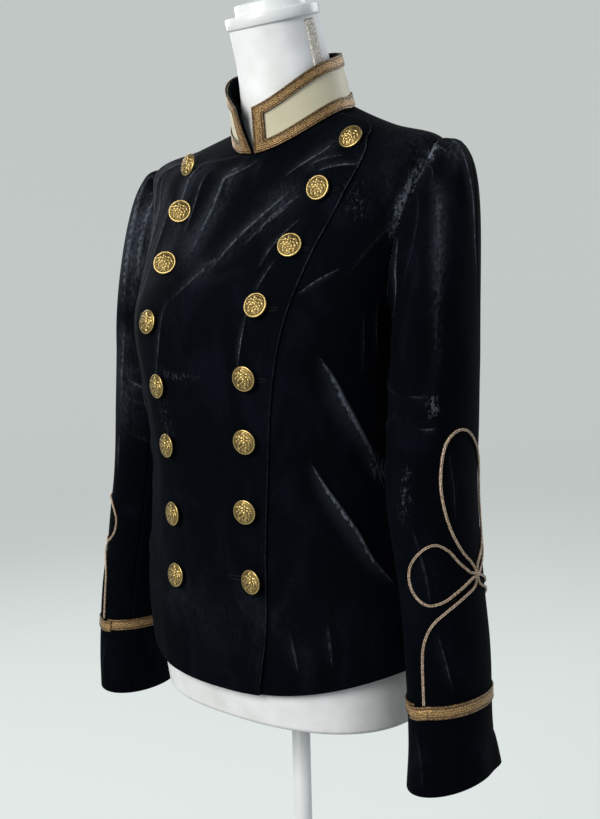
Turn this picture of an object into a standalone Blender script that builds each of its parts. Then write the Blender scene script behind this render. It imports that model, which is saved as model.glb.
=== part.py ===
"""A double-breasted velvet jacket in military style, standing on a limbless dress form.

Metres, +Z up.  The origin is the centre of the stand's base, on the floor.
The wearer faces -Y, so the wearer's left is +X.

The body of the garment is one smooth surface, read with two numbers:
  run   distance from the hem, up the side and then along the shoulder to the neck
  turn  degrees around the body: 0 centre front, 90 wearer's left, -90 wearer's right, 180 back
Each sewn piece is a wall cut from that surface or from a sleeve, with a seam's gap between pieces.
"""
import math
from collections import namedtuple

import bmesh
import bpy
from mathutils import Matrix, Vector
from mathutils.bvhtree import BVHTree

# Cloth and seams
WALL = 0.002
SEAM = 0.0003
REST_GAP = 0.0004
LAP_RISE = 0.0025
LAP_RISE_BLEND = 14.0

# Landmarks of the body surface, as runs from the hem
ARMPIT_RUN = 0.318
SHOULDER_RUN = 0.490
NECK_RUN = 0.610
ARMHOLE_FRONT = 12.5
ARMHOLE_BACK = 30.0

# Grid of the panels
ROWS_BELOW_ARM = 11
ROWS_AT_ARM = 9
ROWS_ON_SHOULDER = 4
COLUMNS_OF_LAP = 8
COLUMNS_OF_SIDE = 6
COLUMNS_OF_HALF_BACK = 8

BodyRing = namedtuple(
    "BodyRing", "run height slope dip half_width front_y side_y back_y front_power back_power")
BODY_RINGS = (
    BodyRing(-0.050, 0.762, 0.00, 0.012, 0.154, -0.110, -0.004, 0.102, 2.4, 2.2),
    BodyRing(0.000, 0.812, 0.00, 0.026, 0.163, -0.116, -0.004, 0.107, 2.4, 2.3),
    BodyRing(0.055, 0.867, 0.00, 0.018, 0.169, -0.118, -0.004, 0.109, 2.4, 2.3),
    BodyRing(0.120, 0.932, 0.00, 0.008, 0.155, -0.121, -0.006, 0.100, 2.4, 2.3),
    BodyRing(0.190, 1.000, 0.00, 0.003, 0.143, -0.125, -0.008, 0.088, 2.4, 2.3),
    BodyRing(0.250, 1.060, 0.00, 0.000, 0.145, -0.130, -0.008, 0.093, 2.5, 2.3),
    BodyRing(0.325, 1.135, 0.00, 0.000, 0.151, -0.131, -0.006, 0.104, 2.8, 2.4),
    BodyRing(0.390, 1.200, 0.08, 0.000, 0.158, -0.105, -0.005, 0.106, 2.5, 2.4),
    BodyRing(0.450, 1.255, 0.15, 0.004, 0.170, -0.075, -0.003, 0.098, 2.3, 2.3),
    BodyRing(0.490, 1.293, 0.10, 0.018, 0.179, -0.061, 0.000, 0.080, 2.0, 2.1),
    BodyRing(0.550, 1.311, 0.20, 0.019, 0.120, -0.052, 0.005, 0.071, 2.0, 2.0),
    BodyRing(0.610, 1.329, 0.345, 0.018, 0.0616, -0.0437, 0.011, 0.066, 2.0, 2.0),
)

# The overlap of the fronts: the hidden edge of the left front and the seen edge of the right front
LapRow = namedtuple("LapRow", "run under_edge lap_edge")
LAP_ROWS = (
    LapRow(0.000, -20.0, 15.0),
    LapRow(0.060, -20.0, 18.5),
    LapRow(0.120, -21.0, 21.7),
    LapRow(0.196, -22.0, 26.8),
    LapRow(0.283, -24.0, 30.2),
    LapRow(0.354, -27.0, 35.0),
    LapRow(0.422, -30.0, 39.8),
    LapRow(0.462, -32.0, 42.8),
    LapRow(0.500, -34.0, 49.5),
    LapRow(0.531, -33.0, 60.5),
    LapRow(0.557, -26.0, 79.0),
    LapRow(0.575, -20.0, 87.0),
    LapRow(0.610, -8.0, 87.5),
)

# Largest folds pressed into the cloth of the body
Fold = namedtuple("Fold", "run_a turn_a run_b turn_b height half_width")
BODY_FOLDS = (
    Fold(0.260, 52.0, 0.160, 72.0, 0.0035, 0.013),
    Fold(0.175, 50.0, 0.065, 74.0, 0.0035, 0.013),
    Fold(0.205, -74.0, 0.150, -52.0, 0.0030, 0.013),
    Fold(0.240, 118.0, 0.170, 96.0, 0.0030, 0.014),
    Fold(0.215, -118.0, 0.150, -98.0, 0.0030, 0.014),
)
FOLD_RADIUS = 0.14
FOLD_END = 0.35

# The sleeve's tube below the cap, wearer's left: centre, half sizes and the tilt of the section
SleeveRing = namedtuple("SleeveRing", "drop x y height half_x half_y tilt")
SLEEVE_RINGS = (
    SleeveRing(0.00, 0.1870, -0.0145, 1.105, 0.0340, 0.0495, 0.00),
    SleeveRing(0.06, 0.1860, -0.0175, 1.045, 0.0340, 0.0520, 0.00),
    SleeveRing(0.13, 0.1870, -0.0220, 0.978, 0.0340, 0.0520, 0.01),
    SleeveRing(0.21, 0.2005, -0.0280, 0.898, 0.0320, 0.0475, 0.02),
    SleeveRing(0.27, 0.2095, -0.0325, 0.840, 0.0320, 0.0480, 0.02),
    SleeveRing(0.34, 0.2145, -0.0365, 0.768, 0.0320, 0.0470, 0.05),
    SleeveRing(0.38, 0.2135, -0.0345, 0.728, 0.0345, 0.0500, 0.12),
)
SLEEVE_LENGTH = 0.38
TILT_TOWARDS = (0.743, 0.669)
CAP_ROWS = 6
TUBE_ROWS = 11
UPPER_COLUMNS = 8
FRONT_SEAM = 140.0
BackSeamRow = namedtuple("BackSeamRow", "drop angle")
BACK_SEAM_ROWS = (
    BackSeamRow(-1.0, -20.0),
    BackSeamRow(-0.6, -12.0),
    BackSeamRow(-0.35, -14.0),
    BackSeamRow(-0.15, -25.0),
    BackSeamRow(0.06, -48.0),
    BackSeamRow(0.13, -56.0),
    BackSeamRow(0.38, -60.0),
)
CAP_STEP = 0.02
TUBE_STEP = 0.002
CAP_OUT_TOP = 0.052
CAP_OUT_PIT = 0.008
CAP_LIFT = 0.22
CAP_DROP = 0.58

# Stand collar, as two rings and the rows between them
CollarRing = namedtuple("CollarRing", "height slope dip half_width front_y side_y back_y")
COLLAR_TOP = CollarRing(1.3785, 0.34, 0.0245, 0.0530, -0.0590, -0.0010, 0.0550)
COLLAR_FOOT_GAP = 0.0022
COLLAR_TOP_GAP = 0.0200
COLLAR_RIGHT_LIFT = 0.010
COLLAR_COLUMNS = 22
COLLAR_PANEL_WALL = 0.0008
BRAID_WALL = 0.0012
BRAID_WIDTH = 0.0125
COLLAR_HEIGHT = 0.0525

# Buttons
BUTTON_SIDES = 10
ButtonRing = namedtuple("ButtonRing", "radius height")
BUTTON_PROFILE = (
    ButtonRing(0.0030, 0.0000),
    ButtonRing(0.0030, 0.0026),
    ButtonRing(0.0110, 0.0030),
    ButtonRing(0.0115, 0.0042),
    ButtonRing(0.0085, 0.0064),
)
BUTTON_CROWN = 0.0076
BUTTON_START = 0.03
ButtonRow = namedtuple("ButtonRow", "left_run left_turn right_run right_turn")
BUTTON_ROWS = (
    ButtonRow(0.537, 55.5, 0.532, -38.0),
    ButtonRow(0.461, 31.6, 0.446, -22.6),
    ButtonRow(0.400, 28.1, 0.385, -18.8),
    ButtonRow(0.341, 20.9, 0.325, -17.0),
    ButtonRow(0.277, 18.6, 0.265, -15.2),
    ButtonRow(0.221, 18.5, 0.210, -14.2),
    ButtonRow(0.158, 16.0, 0.145, -13.4),
    ButtonRow(0.097, 16.0, 0.089, -12.8),
)
# How each button hangs on its shank, in degrees: tip turns its face up, lean to the wearer's left
ButtonTilt = namedtuple("ButtonTilt", "left_tip left_lean right_tip right_lean")
BUTTON_TILTS = (
    ButtonTilt(-26.0, 0.0, -34.0, -8.0),
    ButtonTilt(-8.0, 0.0, -6.0, 34.0),
    ButtonTilt(-4.0, 6.0, -4.0, 34.0),
    ButtonTilt(0.0, 0.0, 0.0, 6.0),
    ButtonTilt(0.0, 0.0, 4.0, 0.0),
    ButtonTilt(0.0, 0.0, 4.0, -2.0),
    ButtonTilt(-2.0, 3.0, 3.0, -3.0),
    ButtonTilt(0.0, -10.0, 6.0, 2.0),
)

# Sleeve trims
BAND_WIDTH = 0.0115
BAND_WALL = 0.0012
BAND_DROP = 0.3020
SOUTACHE_WIDTH = 0.0036
SOUTACHE_HEIGHT = 0.0014
SOUTACHE_GAP = 0.0006
SOUTACHE_STEP = 0.0070
SOUTACHE_TOP = 0.64
PROBE = 0.01
KNOT_ANGLES = {1: -10.0, -1: -1.0}
# The knot on the wearer's left sleeve: drops, and angles from the knot's own middle line
KnotPoint = namedtuple("KnotPoint", "drop aside")
KNOT_TOP = (
    KnotPoint(0.1885, 5.0), KnotPoint(0.1740, 21.0), KnotPoint(0.1540, 33.5), KnotPoint(0.1280, 41.0),
    KnotPoint(0.1040, 43.0), KnotPoint(0.0790, 39.0), KnotPoint(0.0675, 28.0), KnotPoint(0.0655, 14.0),
    KnotPoint(0.0720, 0.0), KnotPoint(0.0880, -18.0), KnotPoint(0.1100, -32.0), KnotPoint(0.1350, -39.0),
    KnotPoint(0.1580, -37.0), KnotPoint(0.1760, -22.0), KnotPoint(0.1885, -5.0),
)
KNOT_SIDE = (
    KnotPoint(0.1935, 12.0), KnotPoint(0.1830, 27.0), KnotPoint(0.1710, 40.0), KnotPoint(0.1650, 56.0),
    KnotPoint(0.1710, 76.0), KnotPoint(0.1860, 94.0), KnotPoint(0.2030, 94.0), KnotPoint(0.2150, 76.0),
    KnotPoint(0.2140, 54.0), KnotPoint(0.2070, 33.0), KnotPoint(0.2000, 12.0),
)
KNOT_STEM = (
    KnotPoint(0.2065, 6.0), KnotPoint(0.2130, 25.0), KnotPoint(0.2225, 50.0), KnotPoint(0.2330, 70.0),
    KnotPoint(0.2480, 83.0), KnotPoint(0.2650, 88.0), KnotPoint(0.3005, 89.5),
)

# Dress form and stand
FORM_CLEARANCE = 0.0075
FORM_SEAT = 0.0031
FORM_SEAT_FROM = 0.44
FORM_SEAT_TO = 0.53
FORM_SIDES = 24
FORM_FOOT_RUN = -0.042
FORM_ROWS = 13
FORM_SHOULDER_ROWS = 4
FORM_FOOT_SCALE = (0.955, 0.94)
FORM_FOOT_ROUND = 0.006
NeckRing = namedtuple("NeckRing", "height y radius slope")
NECK_RINGS = (
    NeckRing(1.342, 0.008, 0.0500, 0.48),
    NeckRing(1.362, 0.003, 0.0460, 0.40),
    NeckRing(1.390, -0.004, 0.0440, 0.30),
    NeckRing(1.4195, -0.0135, 0.0435, 0.28),
)
CAP_PROFILE = ((0.0458, 0.000), (0.0462, 0.0115), (0.0352, 0.0122), (0.0348, 0.0215), (0.020, 0.0235))
CAP_KNOB = ((0.0070, 0.0240), (0.0060, 0.0315), (0.0095, 0.0365), (0.0090, 0.0435))
CAP_TOP = 0.0475
CAP_TILT = 15.5
POLE_RADIUS = 0.0095
BASE_RADIUS = 0.165
BASE_HEIGHT = 0.014
BASE_EDGE = 0.0084
BASE_BEVEL = 0.006
BASE_CROWN = 0.022
SOCKET_FOOT_RADIUS = 0.024
SOCKET_RADIUS = 0.020
SOCKET_TOP = 0.032
ROUND_SIDES = 32
POLE_SIDES = 16

# Colours, linear
VELVET = (0.006, 0.007, 0.011)
SATIN = (0.66, 0.62, 0.44)
BRAID_GOLD = (0.30, 0.18, 0.06)
BUTTON_GOLD = (0.62, 0.40, 0.09)
FORM_WHITE = (0.78, 0.78, 0.77)


def clear_scene():
    """Remove what the new file starts with."""
    for found in list(bpy.data.objects):
        bpy.data.objects.remove(found, do_unlink=True)


def make_material(name, colour, roughness, metallic=0.0):
    """A Principled material in one colour."""
    material = bpy.data.materials.new(name)
    material.use_nodes = True
    shader = material.node_tree.nodes["Principled BSDF"]
    shader.inputs["Base Color"].default_value = (*colour, 1.0)
    shader.inputs["Roughness"].default_value = roughness
    shader.inputs["Metallic"].default_value = metallic
    material.diffuse_color = (*colour, 1.0)
    return material


def add_object(name, mesh, material):
    """Put a mesh into the scene under a node's name."""
    mesh.materials.append(material)
    made = bpy.data.objects.new(name, mesh)
    bpy.context.collection.objects.link(made)
    return made


def read_table(rows, key, column, at):
    """A column of a table of rows, smoothly between its rows."""
    keys = [getattr(row, key) for row in rows]
    values = [getattr(row, column) for row in rows]
    at = min(max(at, keys[0]), keys[-1])
    index = 0
    while index < len(keys) - 2 and at > keys[index + 1]:
        index += 1

    def slope_at(i):
        low, high = max(i - 1, 0), min(i + 1, len(keys) - 1)
        return (values[high] - values[low]) / (keys[high] - keys[low])

    step = keys[index + 1] - keys[index]
    part = (at - keys[index]) / step
    square, cube = part * part, part * part * part
    return ((2 * cube - 3 * square + 1) * values[index]
            + (cube - 2 * square + part) * step * slope_at(index)
            + (3 * square - 2 * cube) * values[index + 1]
            + (cube - square) * step * slope_at(index + 1))


def smooth_step(low, high, at):
    """0 below low, 1 above high and an S curve between them."""
    part = min(max((at - low) / (high - low), 0.0), 1.0)
    return part * part * (3.0 - 2.0 * part)


def signed_power(value, power):
    """A power that keeps the sign, for squared-off ovals."""
    return math.copysign(abs(value) ** power, value)


def body_point(run, turn):
    """The plain body surface, before folds."""
    ring = {column: read_table(BODY_RINGS, "run", column, run) for column in BodyRing._fields[1:]}
    angle = math.radians(turn)
    ahead = math.cos(angle)
    power = ring["front_power"] if ahead > 0 else ring["back_power"]
    reach = abs(ahead) ** (2.0 / power)
    side_power = ring["back_power"] + (ring["front_power"] - ring["back_power"]) * smooth_step(-0.4, 0.4, ahead)
    x = ring["half_width"] * signed_power(math.sin(angle), 2.0 / side_power)
    depth = (ring["front_y"] if ahead > 0 else ring["back_y"]) - ring["side_y"]
    y = ring["side_y"] + depth * reach
    z = ring["height"] + ring["slope"] * (y - ring["side_y"]) - ring["dip"] * max(ahead, 0.0) ** 2
    return Vector((x, y, z))


def surface_normal(read, first, second, first_step, second_step):
    """The outward normal of a surface that is read with two numbers."""
    along = read(first + first_step, second) - read(first - first_step, second)
    around = read(first, second + second_step) - read(first, second - second_step)
    return around.cross(along).normalized()


def fold_height(folds, run, turn):
    """How far the folds stand out at a place on the body."""
    total = 0.0
    for fold in folds:
        ax, ay = math.radians(fold.turn_a) * FOLD_RADIUS, fold.run_a
        bx, by = math.radians(fold.turn_b) * FOLD_RADIUS, fold.run_b
        px, py = math.radians(turn) * FOLD_RADIUS, run
        length2 = (bx - ax) ** 2 + (by - ay) ** 2
        part = min(max(((px - ax) * (bx - ax) + (py - ay) * (by - ay)) / length2, 0.0), 1.0)
        away = math.hypot(px - ax - part * (bx - ax), py - ay - part * (by - ay))
        total += fold.height * math.exp(-((away / fold.half_width) ** 2)) * (FOLD_END + (1 - FOLD_END) * math.sin(math.pi * part))
    return total


def cloth_point(run, turn, rise=0.0):
    """The outer face of the cloth and its normal, raised by a lap."""
    inner_run = min(max(run, BODY_RINGS[0].run + 0.002), NECK_RUN - 0.002)
    normal = surface_normal(body_point, inner_run, turn, 0.002, 1.0)
    return body_point(run, turn) + normal * (fold_height(BODY_FOLDS, run, turn) + rise), normal


def make_shell(name, grid, wall, material, keep=None):
    """A wall under a grid of points and normals; keep says which cells of the grid are cloth."""
    rows, columns = len(grid) - 1, len(grid[0]) - 1
    cells = [(i, j) for i in range(rows) for j in range(columns) if keep is None or keep(i, j)]
    used = {}
    build = bmesh.new()

    def corner(i, j, inner):
        key = (i, j, inner)
        if key not in used:
            point, normal = grid[i][j]
            used[key] = build.verts.new(point - normal * wall if inner else point)
        return used[key]

    edges = {}
    for i, j in cells:
        loop = [(i, j), (i, j + 1), (i + 1, j + 1), (i + 1, j)]
        build.faces.new([corner(*place, False) for place in loop])
        build.faces.new([corner(*place, True) for place in (loop[0], loop[3], loop[2], loop[1])])
        for start, end in zip(loop, loop[1:] + loop[:1]):
            edges[(start, end)] = True
    for start, end in edges:
        if (end, start) not in edges:
            build.faces.new([corner(*end, False), corner(*start, False), corner(*start, True), corner(*end, True)])
    return finish_mesh(name, build, material)


def finish_mesh(name, build, material):
    """Close a bmesh into a named object with its faces pointing out."""
    bmesh.ops.recalc_face_normals(build, faces=build.faces)
    if build.calc_volume(signed=True) < 0:
        bmesh.ops.reverse_faces(build, faces=build.faces)
    bmesh.ops.triangulate(build, faces=build.faces, quad_method="FIXED")
    mesh = bpy.data.meshes.new(name)
    build.to_mesh(mesh)
    build.free()
    mesh.shade_smooth()
    mesh.set_sharp_from_angle(angle=math.radians(40.0))
    return add_object(name, mesh, material)


def make_stack(name, rings, material):
    """A closed solid through rings of equal count, capped flat at both ends."""
    build = bmesh.new()
    loops = [[build.verts.new(point) for point in ring] for ring in rings]
    count = len(loops[0])
    for low, high in zip(loops, loops[1:]):
        for k in range(count):
            build.faces.new([low[k], low[(k + 1) % count], high[(k + 1) % count], high[k]])
    build.faces.new(list(reversed(loops[0])))
    build.faces.new(loops[-1])
    return finish_mesh(name, build, material)


def round_ring(radius, height, sides, place=Matrix.Identity(4)):
    """A level circle of points, carried by a placing matrix."""
    turns = [2.0 * math.pi * k / sides for k in range(sides)]
    return [place @ Vector((radius * math.cos(t), radius * math.sin(t), height)) for t in turns]


def body_rows():
    """Runs of the panels' rows from hem to neck, close together where the armhole turns."""
    runs = [ARMPIT_RUN * k / ROWS_BELOW_ARM for k in range(ROWS_BELOW_ARM)]
    span = SHOULDER_RUN - ARMPIT_RUN
    runs += [ARMPIT_RUN + span * (1 - math.cos(math.pi * k / ROWS_AT_ARM)) / 2 for k in range(ROWS_AT_ARM)]
    span = NECK_RUN - SHOULDER_RUN
    return runs + [SHOULDER_RUN + span * k / ROWS_ON_SHOULDER for k in range(ROWS_ON_SHOULDER + 1)]


def seam_turn(run):
    """Half the seam's gap, in degrees, where the panels meet at the side."""
    return math.degrees(SEAM / 2 / read_table(BODY_RINGS, "run", "half_width", run))


def side_edge(run, opening):
    """How far from the side line a panel stops: half a seam, or the armhole's curve."""
    stop = 2.0 * seam_turn(run)
    if ARMPIT_RUN < run < SHOULDER_RUN:
        part = (run - ARMPIT_RUN) / (SHOULDER_RUN - ARMPIT_RUN)
        stop += opening * math.sqrt(1.0 - (2.0 * part - 1.0) ** 2)
    return stop


def spread(low, high, count):
    """count + 1 values from low to high."""
    return [low + (high - low) * k / count for k in range(count + 1)]


def lap_rise(run, turn):
    """How far the right front is lifted over the hidden part of the left front."""
    under = read_table(LAP_ROWS, "run", "under_edge", run)
    return LAP_RISE * smooth_step(under - LAP_RISE_BLEND, under - 2.0, turn)


def front_rows(left):
    """The grid of one front panel, with shared lines where the fronts overlap."""
    grid = []
    for run in body_rows():
        under = read_table(LAP_ROWS, "run", "under_edge", run)
        lap = read_table(LAP_ROWS, "run", "lap_edge", run)
        side = 90.0 - side_edge(run, ARMHOLE_FRONT)
        shared = spread(under, lap, COLUMNS_OF_LAP)
        if left:
            turns = shared[:-1] + spread(lap, side, COLUMNS_OF_SIDE)
            grid.append([cloth_point(run, turn) for turn in turns])
        else:
            turns = spread(-side, under, COLUMNS_OF_SIDE)[:-1] + shared
            grid.append([cloth_point(run, turn, lap_rise(run, turn)) for turn in turns])
    return grid


def back_rows():
    """The grid of the back, from the wearer's left side round to the right."""
    grid = []
    for run in body_rows():
        side = 90.0 + side_edge(run, ARMHOLE_BACK)
        turns = spread(side, 360.0 - side, 2 * COLUMNS_OF_HALF_BACK)
        grid.append([cloth_point(run, turn) for turn in turns])
    return grid


def armhole_point(angle):
    """The sleeve's first stitches: 0 is the shoulder, 90 the front, 180 the armpit, 270 the back."""
    middle = (ARMPIT_RUN + SHOULDER_RUN) / 2
    half = (SHOULDER_RUN - ARMPIT_RUN) / 2 - 2 * SEAM
    run = middle + half * math.cos(math.radians(angle))
    across = math.sin(math.radians(angle))
    opening = ARMHOLE_FRONT if across > 0 else ARMHOLE_BACK
    return body_point(run, 90.0 - opening * across)


def tube_point(drop, angle):
    """The sleeve below the cap."""
    ring = {column: read_table(SLEEVE_RINGS, "drop", column, drop) for column in SleeveRing._fields[1:]}
    dx = ring["half_x"] * math.cos(math.radians(angle))
    dy = -ring["half_y"] * math.sin(math.radians(angle))
    rise = ring["tilt"] * (dx * TILT_TOWARDS[0] + dy * TILT_TOWARDS[1])
    return Vector((ring["x"] + dx, ring["y"] + dy, ring["height"] + rise))


def sleeve_point(drop, angle):
    """The wearer's left sleeve: drop is -1 at the armhole, 0 at the foot of the cap, then metres."""
    if drop >= 0.0:
        return tube_point(drop, angle)
    start, end = armhole_point(angle), tube_point(0.0, angle)
    top = (1.0 + math.cos(math.radians(angle))) / 2
    reach = CAP_OUT_PIT + (CAP_OUT_TOP - CAP_OUT_PIT) * top
    leave = start + Vector((reach, 0.0, reach * CAP_LIFT * top))
    arrive = end + Vector((0.0, 0.0, (start.z - end.z) * CAP_DROP))
    part = drop + 1.0
    rest = 1.0 - part
    return (start * rest ** 3 + leave * 3 * part * rest ** 2
            + arrive * 3 * part ** 2 * rest + end * part ** 3)


def sleeve_cloth(drop, angle):
    """The sleeve's outer face and its normal."""
    step = CAP_STEP if drop < 0 else TUBE_STEP
    middle = min(max(drop, -1.0 + step), SLEEVE_LENGTH - step)
    normal = surface_normal(sleeve_point, middle, angle, step, 3.0)
    return sleeve_point(drop, angle), normal


def mirror_pair(pair, side):
    """A point and its normal on the wearer's left (+1) or right (-1)."""
    point, normal = pair
    return Vector((side * point.x, point.y, point.z)), Vector((side * normal.x, normal.y, normal.z))


def sleeve_drops():
    """The rows of a sleeve from armhole to hem."""
    return spread(-1.0, 0.0, CAP_ROWS)[:-1] + spread(0.0, SLEEVE_LENGTH, TUBE_ROWS)


def sleeve_angles(drop, upper):
    """The columns of one piece of a sleeve across a row, from seam to seam."""
    back = read_table(BACK_SEAM_ROWS, "drop", "angle", drop)
    if upper:
        return spread(back, FRONT_SEAM, UPPER_COLUMNS)
    return spread(FRONT_SEAM, 360.0 + back, 2 * ROWS_AT_ARM - UPPER_COLUMNS)


def make_sleeve(side, upper, material):
    """One of the two pieces of a sleeve, half a seam's gap short of its neighbour on both sides."""
    gap = math.degrees(SEAM / 2 / 0.04)
    grid = []
    for drop in sleeve_drops():
        angles = sleeve_angles(drop, upper)
        angles[0] += gap
        angles[-1] -= gap
        grid.append([mirror_pair(sleeve_cloth(drop, angle), side) for angle in angles])
    piece = "sleeve_upper_" if upper else "sleeve_under_"
    return make_shell(piece + side_name(side), grid, WALL, material)


def collar_point(part, turn):
    """The outer face of the collar: part 0 at its foot, just over the neck seam, 1 at its top."""
    angle = math.radians(turn)
    ahead, across = math.cos(angle), math.sin(angle)
    around = turn if turn <= 180.0 else turn - 360.0
    rise = lap_rise(NECK_RUN, around) * (1.0 - smooth_step(90.0, 110.0, around))
    foot = cloth_point(NECK_RUN, turn, rise)[0] + Vector((0.0, 0.0, 2 * SEAM))
    depth = (COLLAR_TOP.front_y if ahead > 0 else COLLAR_TOP.back_y) - COLLAR_TOP.side_y
    y = COLLAR_TOP.side_y + depth * abs(ahead)
    z = COLLAR_TOP.height + COLLAR_TOP.slope * (y - COLLAR_TOP.side_y) - COLLAR_TOP.dip * max(ahead, 0.0) ** 2
    z += COLLAR_RIGHT_LIFT * max(ahead, 0.0) * smooth_step(0.0, 0.6, -across)
    return foot.lerp(Vector((COLLAR_TOP.half_width * across, y, z)), part)


def collar_end(part):
    """The turn at which the collar's front end stands."""
    gap = COLLAR_FOOT_GAP + (COLLAR_TOP_GAP - COLLAR_FOOT_GAP) * part
    return math.degrees(math.asin(gap / 2 / COLLAR_TOP.half_width))


def collar_cloth(part, turn, rise):
    """The collar's face and normal, moved out for what lies on it."""
    normal = surface_normal(collar_point, part, turn, 0.1, 2.0)
    return collar_point(part, turn) + normal * rise, normal


def make_collar_layer(name, rise, wall, material, edge_in=0.0, frame=False):
    """A layer of the collar; a frame keeps only its border of braid."""
    margin = edge_in / COLLAR_HEIGHT
    border = BRAID_WIDTH / COLLAR_HEIGHT
    parts = [margin, margin + border, 0.5, 1 - margin - border, 1 - margin]
    braid_turn = math.degrees(BRAID_WIDTH / COLLAR_TOP.half_width)
    edge_turn = math.degrees(edge_in / COLLAR_TOP.half_width)
    grid = []
    for part in parts:
        end = collar_end(part)
        inner = spread(end + braid_turn, 360.0 - end - braid_turn, COLLAR_COLUMNS - 2)
        turns = [end + edge_turn] + inner + [360.0 - end - edge_turn]
        grid.append([collar_cloth(part, turn, rise) for turn in turns])

    def is_border(i, j):
        return i in (0, len(parts) - 2) or j in (0, COLLAR_COLUMNS - 1)

    return make_shell(name, grid, wall, material, is_border if frame else None)


def button_mesh():
    """A domed shank button, its shank's foot at the origin and its crown along +Z."""
    build = bmesh.new()
    loops = [[build.verts.new(point) for point in round_ring(ring.radius, ring.height, BUTTON_SIDES)]
             for ring in BUTTON_PROFILE]
    crown = build.verts.new((0.0, 0.0, BUTTON_CROWN))
    for low, high in zip(loops, loops[1:]):
        for k in range(BUTTON_SIDES):
            following = (k + 1) % BUTTON_SIDES
            build.faces.new([low[k], low[following], high[following], high[k]])
    for k in range(BUTTON_SIDES):
        build.faces.new([loops[-1][k], loops[-1][(k + 1) % BUTTON_SIDES], crown])
    build.faces.new(list(reversed(loops[0])))
    bmesh.ops.triangulate(build, faces=build.faces)
    mesh = bpy.data.meshes.new("button")
    build.to_mesh(mesh)
    build.free()
    mesh.shade_smooth()
    mesh.set_sharp_from_angle(angle=math.radians(40.0))
    return mesh


def seat_height(tree, place):
    """How far a button can slide down its own axis before any of it is a resting gap from the cloth."""
    rims = []
    for ring in BUTTON_PROFILE:
        rims += round_ring(ring.radius, ring.height + BUTTON_START, 2 * BUTTON_SIDES)
    down = place.to_3x3() @ Vector((0.0, 0.0, -1.0))
    hits = [tree.ray_cast(place @ rim, down)[3] for rim in rims]
    nearest = min(hit for hit in hits if hit is not None)
    return BUTTON_START - nearest + REST_GAP


def place_button(name, mesh, panel, run, turn, tip, lean):
    """Sew a button onto a panel: tip turns its face up, lean turns it to the wearer's left."""
    point, normal = cloth_point(run, turn)
    across = Vector((0.0, 0.0, 1.0)).cross(normal).normalized()
    above = normal.cross(across)
    axis = (normal + above * math.tan(math.radians(tip)) + across * math.tan(math.radians(lean))).normalized()
    place = Matrix.Translation(point) @ axis.to_track_quat("Z", "Y").to_matrix().to_4x4()
    tree = BVHTree.FromObject(panel, bpy.context.evaluated_depsgraph_get())
    button = bpy.data.objects.new(name, mesh)
    button.matrix_world = place @ Matrix.Translation((0.0, 0.0, seat_height(tree, place)))
    bpy.context.collection.objects.link(button)


def make_band(side, material):
    """The gold band round a sleeve above its hem."""
    rows = (BAND_DROP, BAND_DROP + BAND_WIDTH / 2, BAND_DROP + BAND_WIDTH)
    outer, inner = [], []
    for drop in rows:
        angles = sleeve_angles(drop, True)[:-1] + sleeve_angles(drop, False)[:-1]
        pairs = [mirror_pair(sleeve_cloth(drop, angle), side) for angle in angles]
        inner.append([point + normal * REST_GAP for point, normal in pairs])
        outer.append([point + normal * (REST_GAP + BAND_WALL) for point, normal in pairs])
    loops = outer + list(reversed(inner))
    build = bmesh.new()
    rings = [[build.verts.new(point) for point in loop] for loop in loops]
    count = len(angles)
    for k, ring in enumerate(rings):
        following = rings[(k + 1) % len(rings)]
        for j in range(count):
            build.faces.new([ring[j], ring[(j + 1) % count], following[(j + 1) % count], following[j]])
    return finish_mesh("sleeve_band_" + side_name(side), build, material)


def smooth_path(points, middle, step):
    """Places along a smooth curve through a knot's points, about a step apart on the sleeve."""
    fine = []
    count = len(points)
    for k in range(count - 1):
        four = [points[max(k - 1, 0)], points[k], points[k + 1], points[min(k + 2, count - 1)]]
        for n in range(12):
            part = n / 12
            weights = (-0.5 * part + part ** 2 - 0.5 * part ** 3, 1 - 2.5 * part ** 2 + 1.5 * part ** 3,
                       0.5 * part + 2 * part ** 2 - 1.5 * part ** 3, -0.5 * part ** 2 + 0.5 * part ** 3)
            fine.append([sum(w * p[axis] for w, p in zip(weights, four)) for axis in (0, 1)])
    fine.append(list(points[-1]))
    places = [sleeve_point(drop, middle + aside) for drop, aside in fine]
    reached = [0.0]
    for before, after in zip(places, places[1:]):
        reached.append(reached[-1] + (after - before).length)
    steps = max(2, round(reached[-1] / step))
    chosen, index = [], 0
    for k in range(steps + 1):
        target = reached[-1] * k / steps
        while index < len(reached) - 2 and reached[index + 1] < target:
            index += 1
        part = (target - reached[index]) / (reached[index + 1] - reached[index])
        chosen.append([fine[index][axis] + (fine[index + 1][axis] - fine[index][axis]) * part for axis in (0, 1)])
    return chosen


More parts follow.
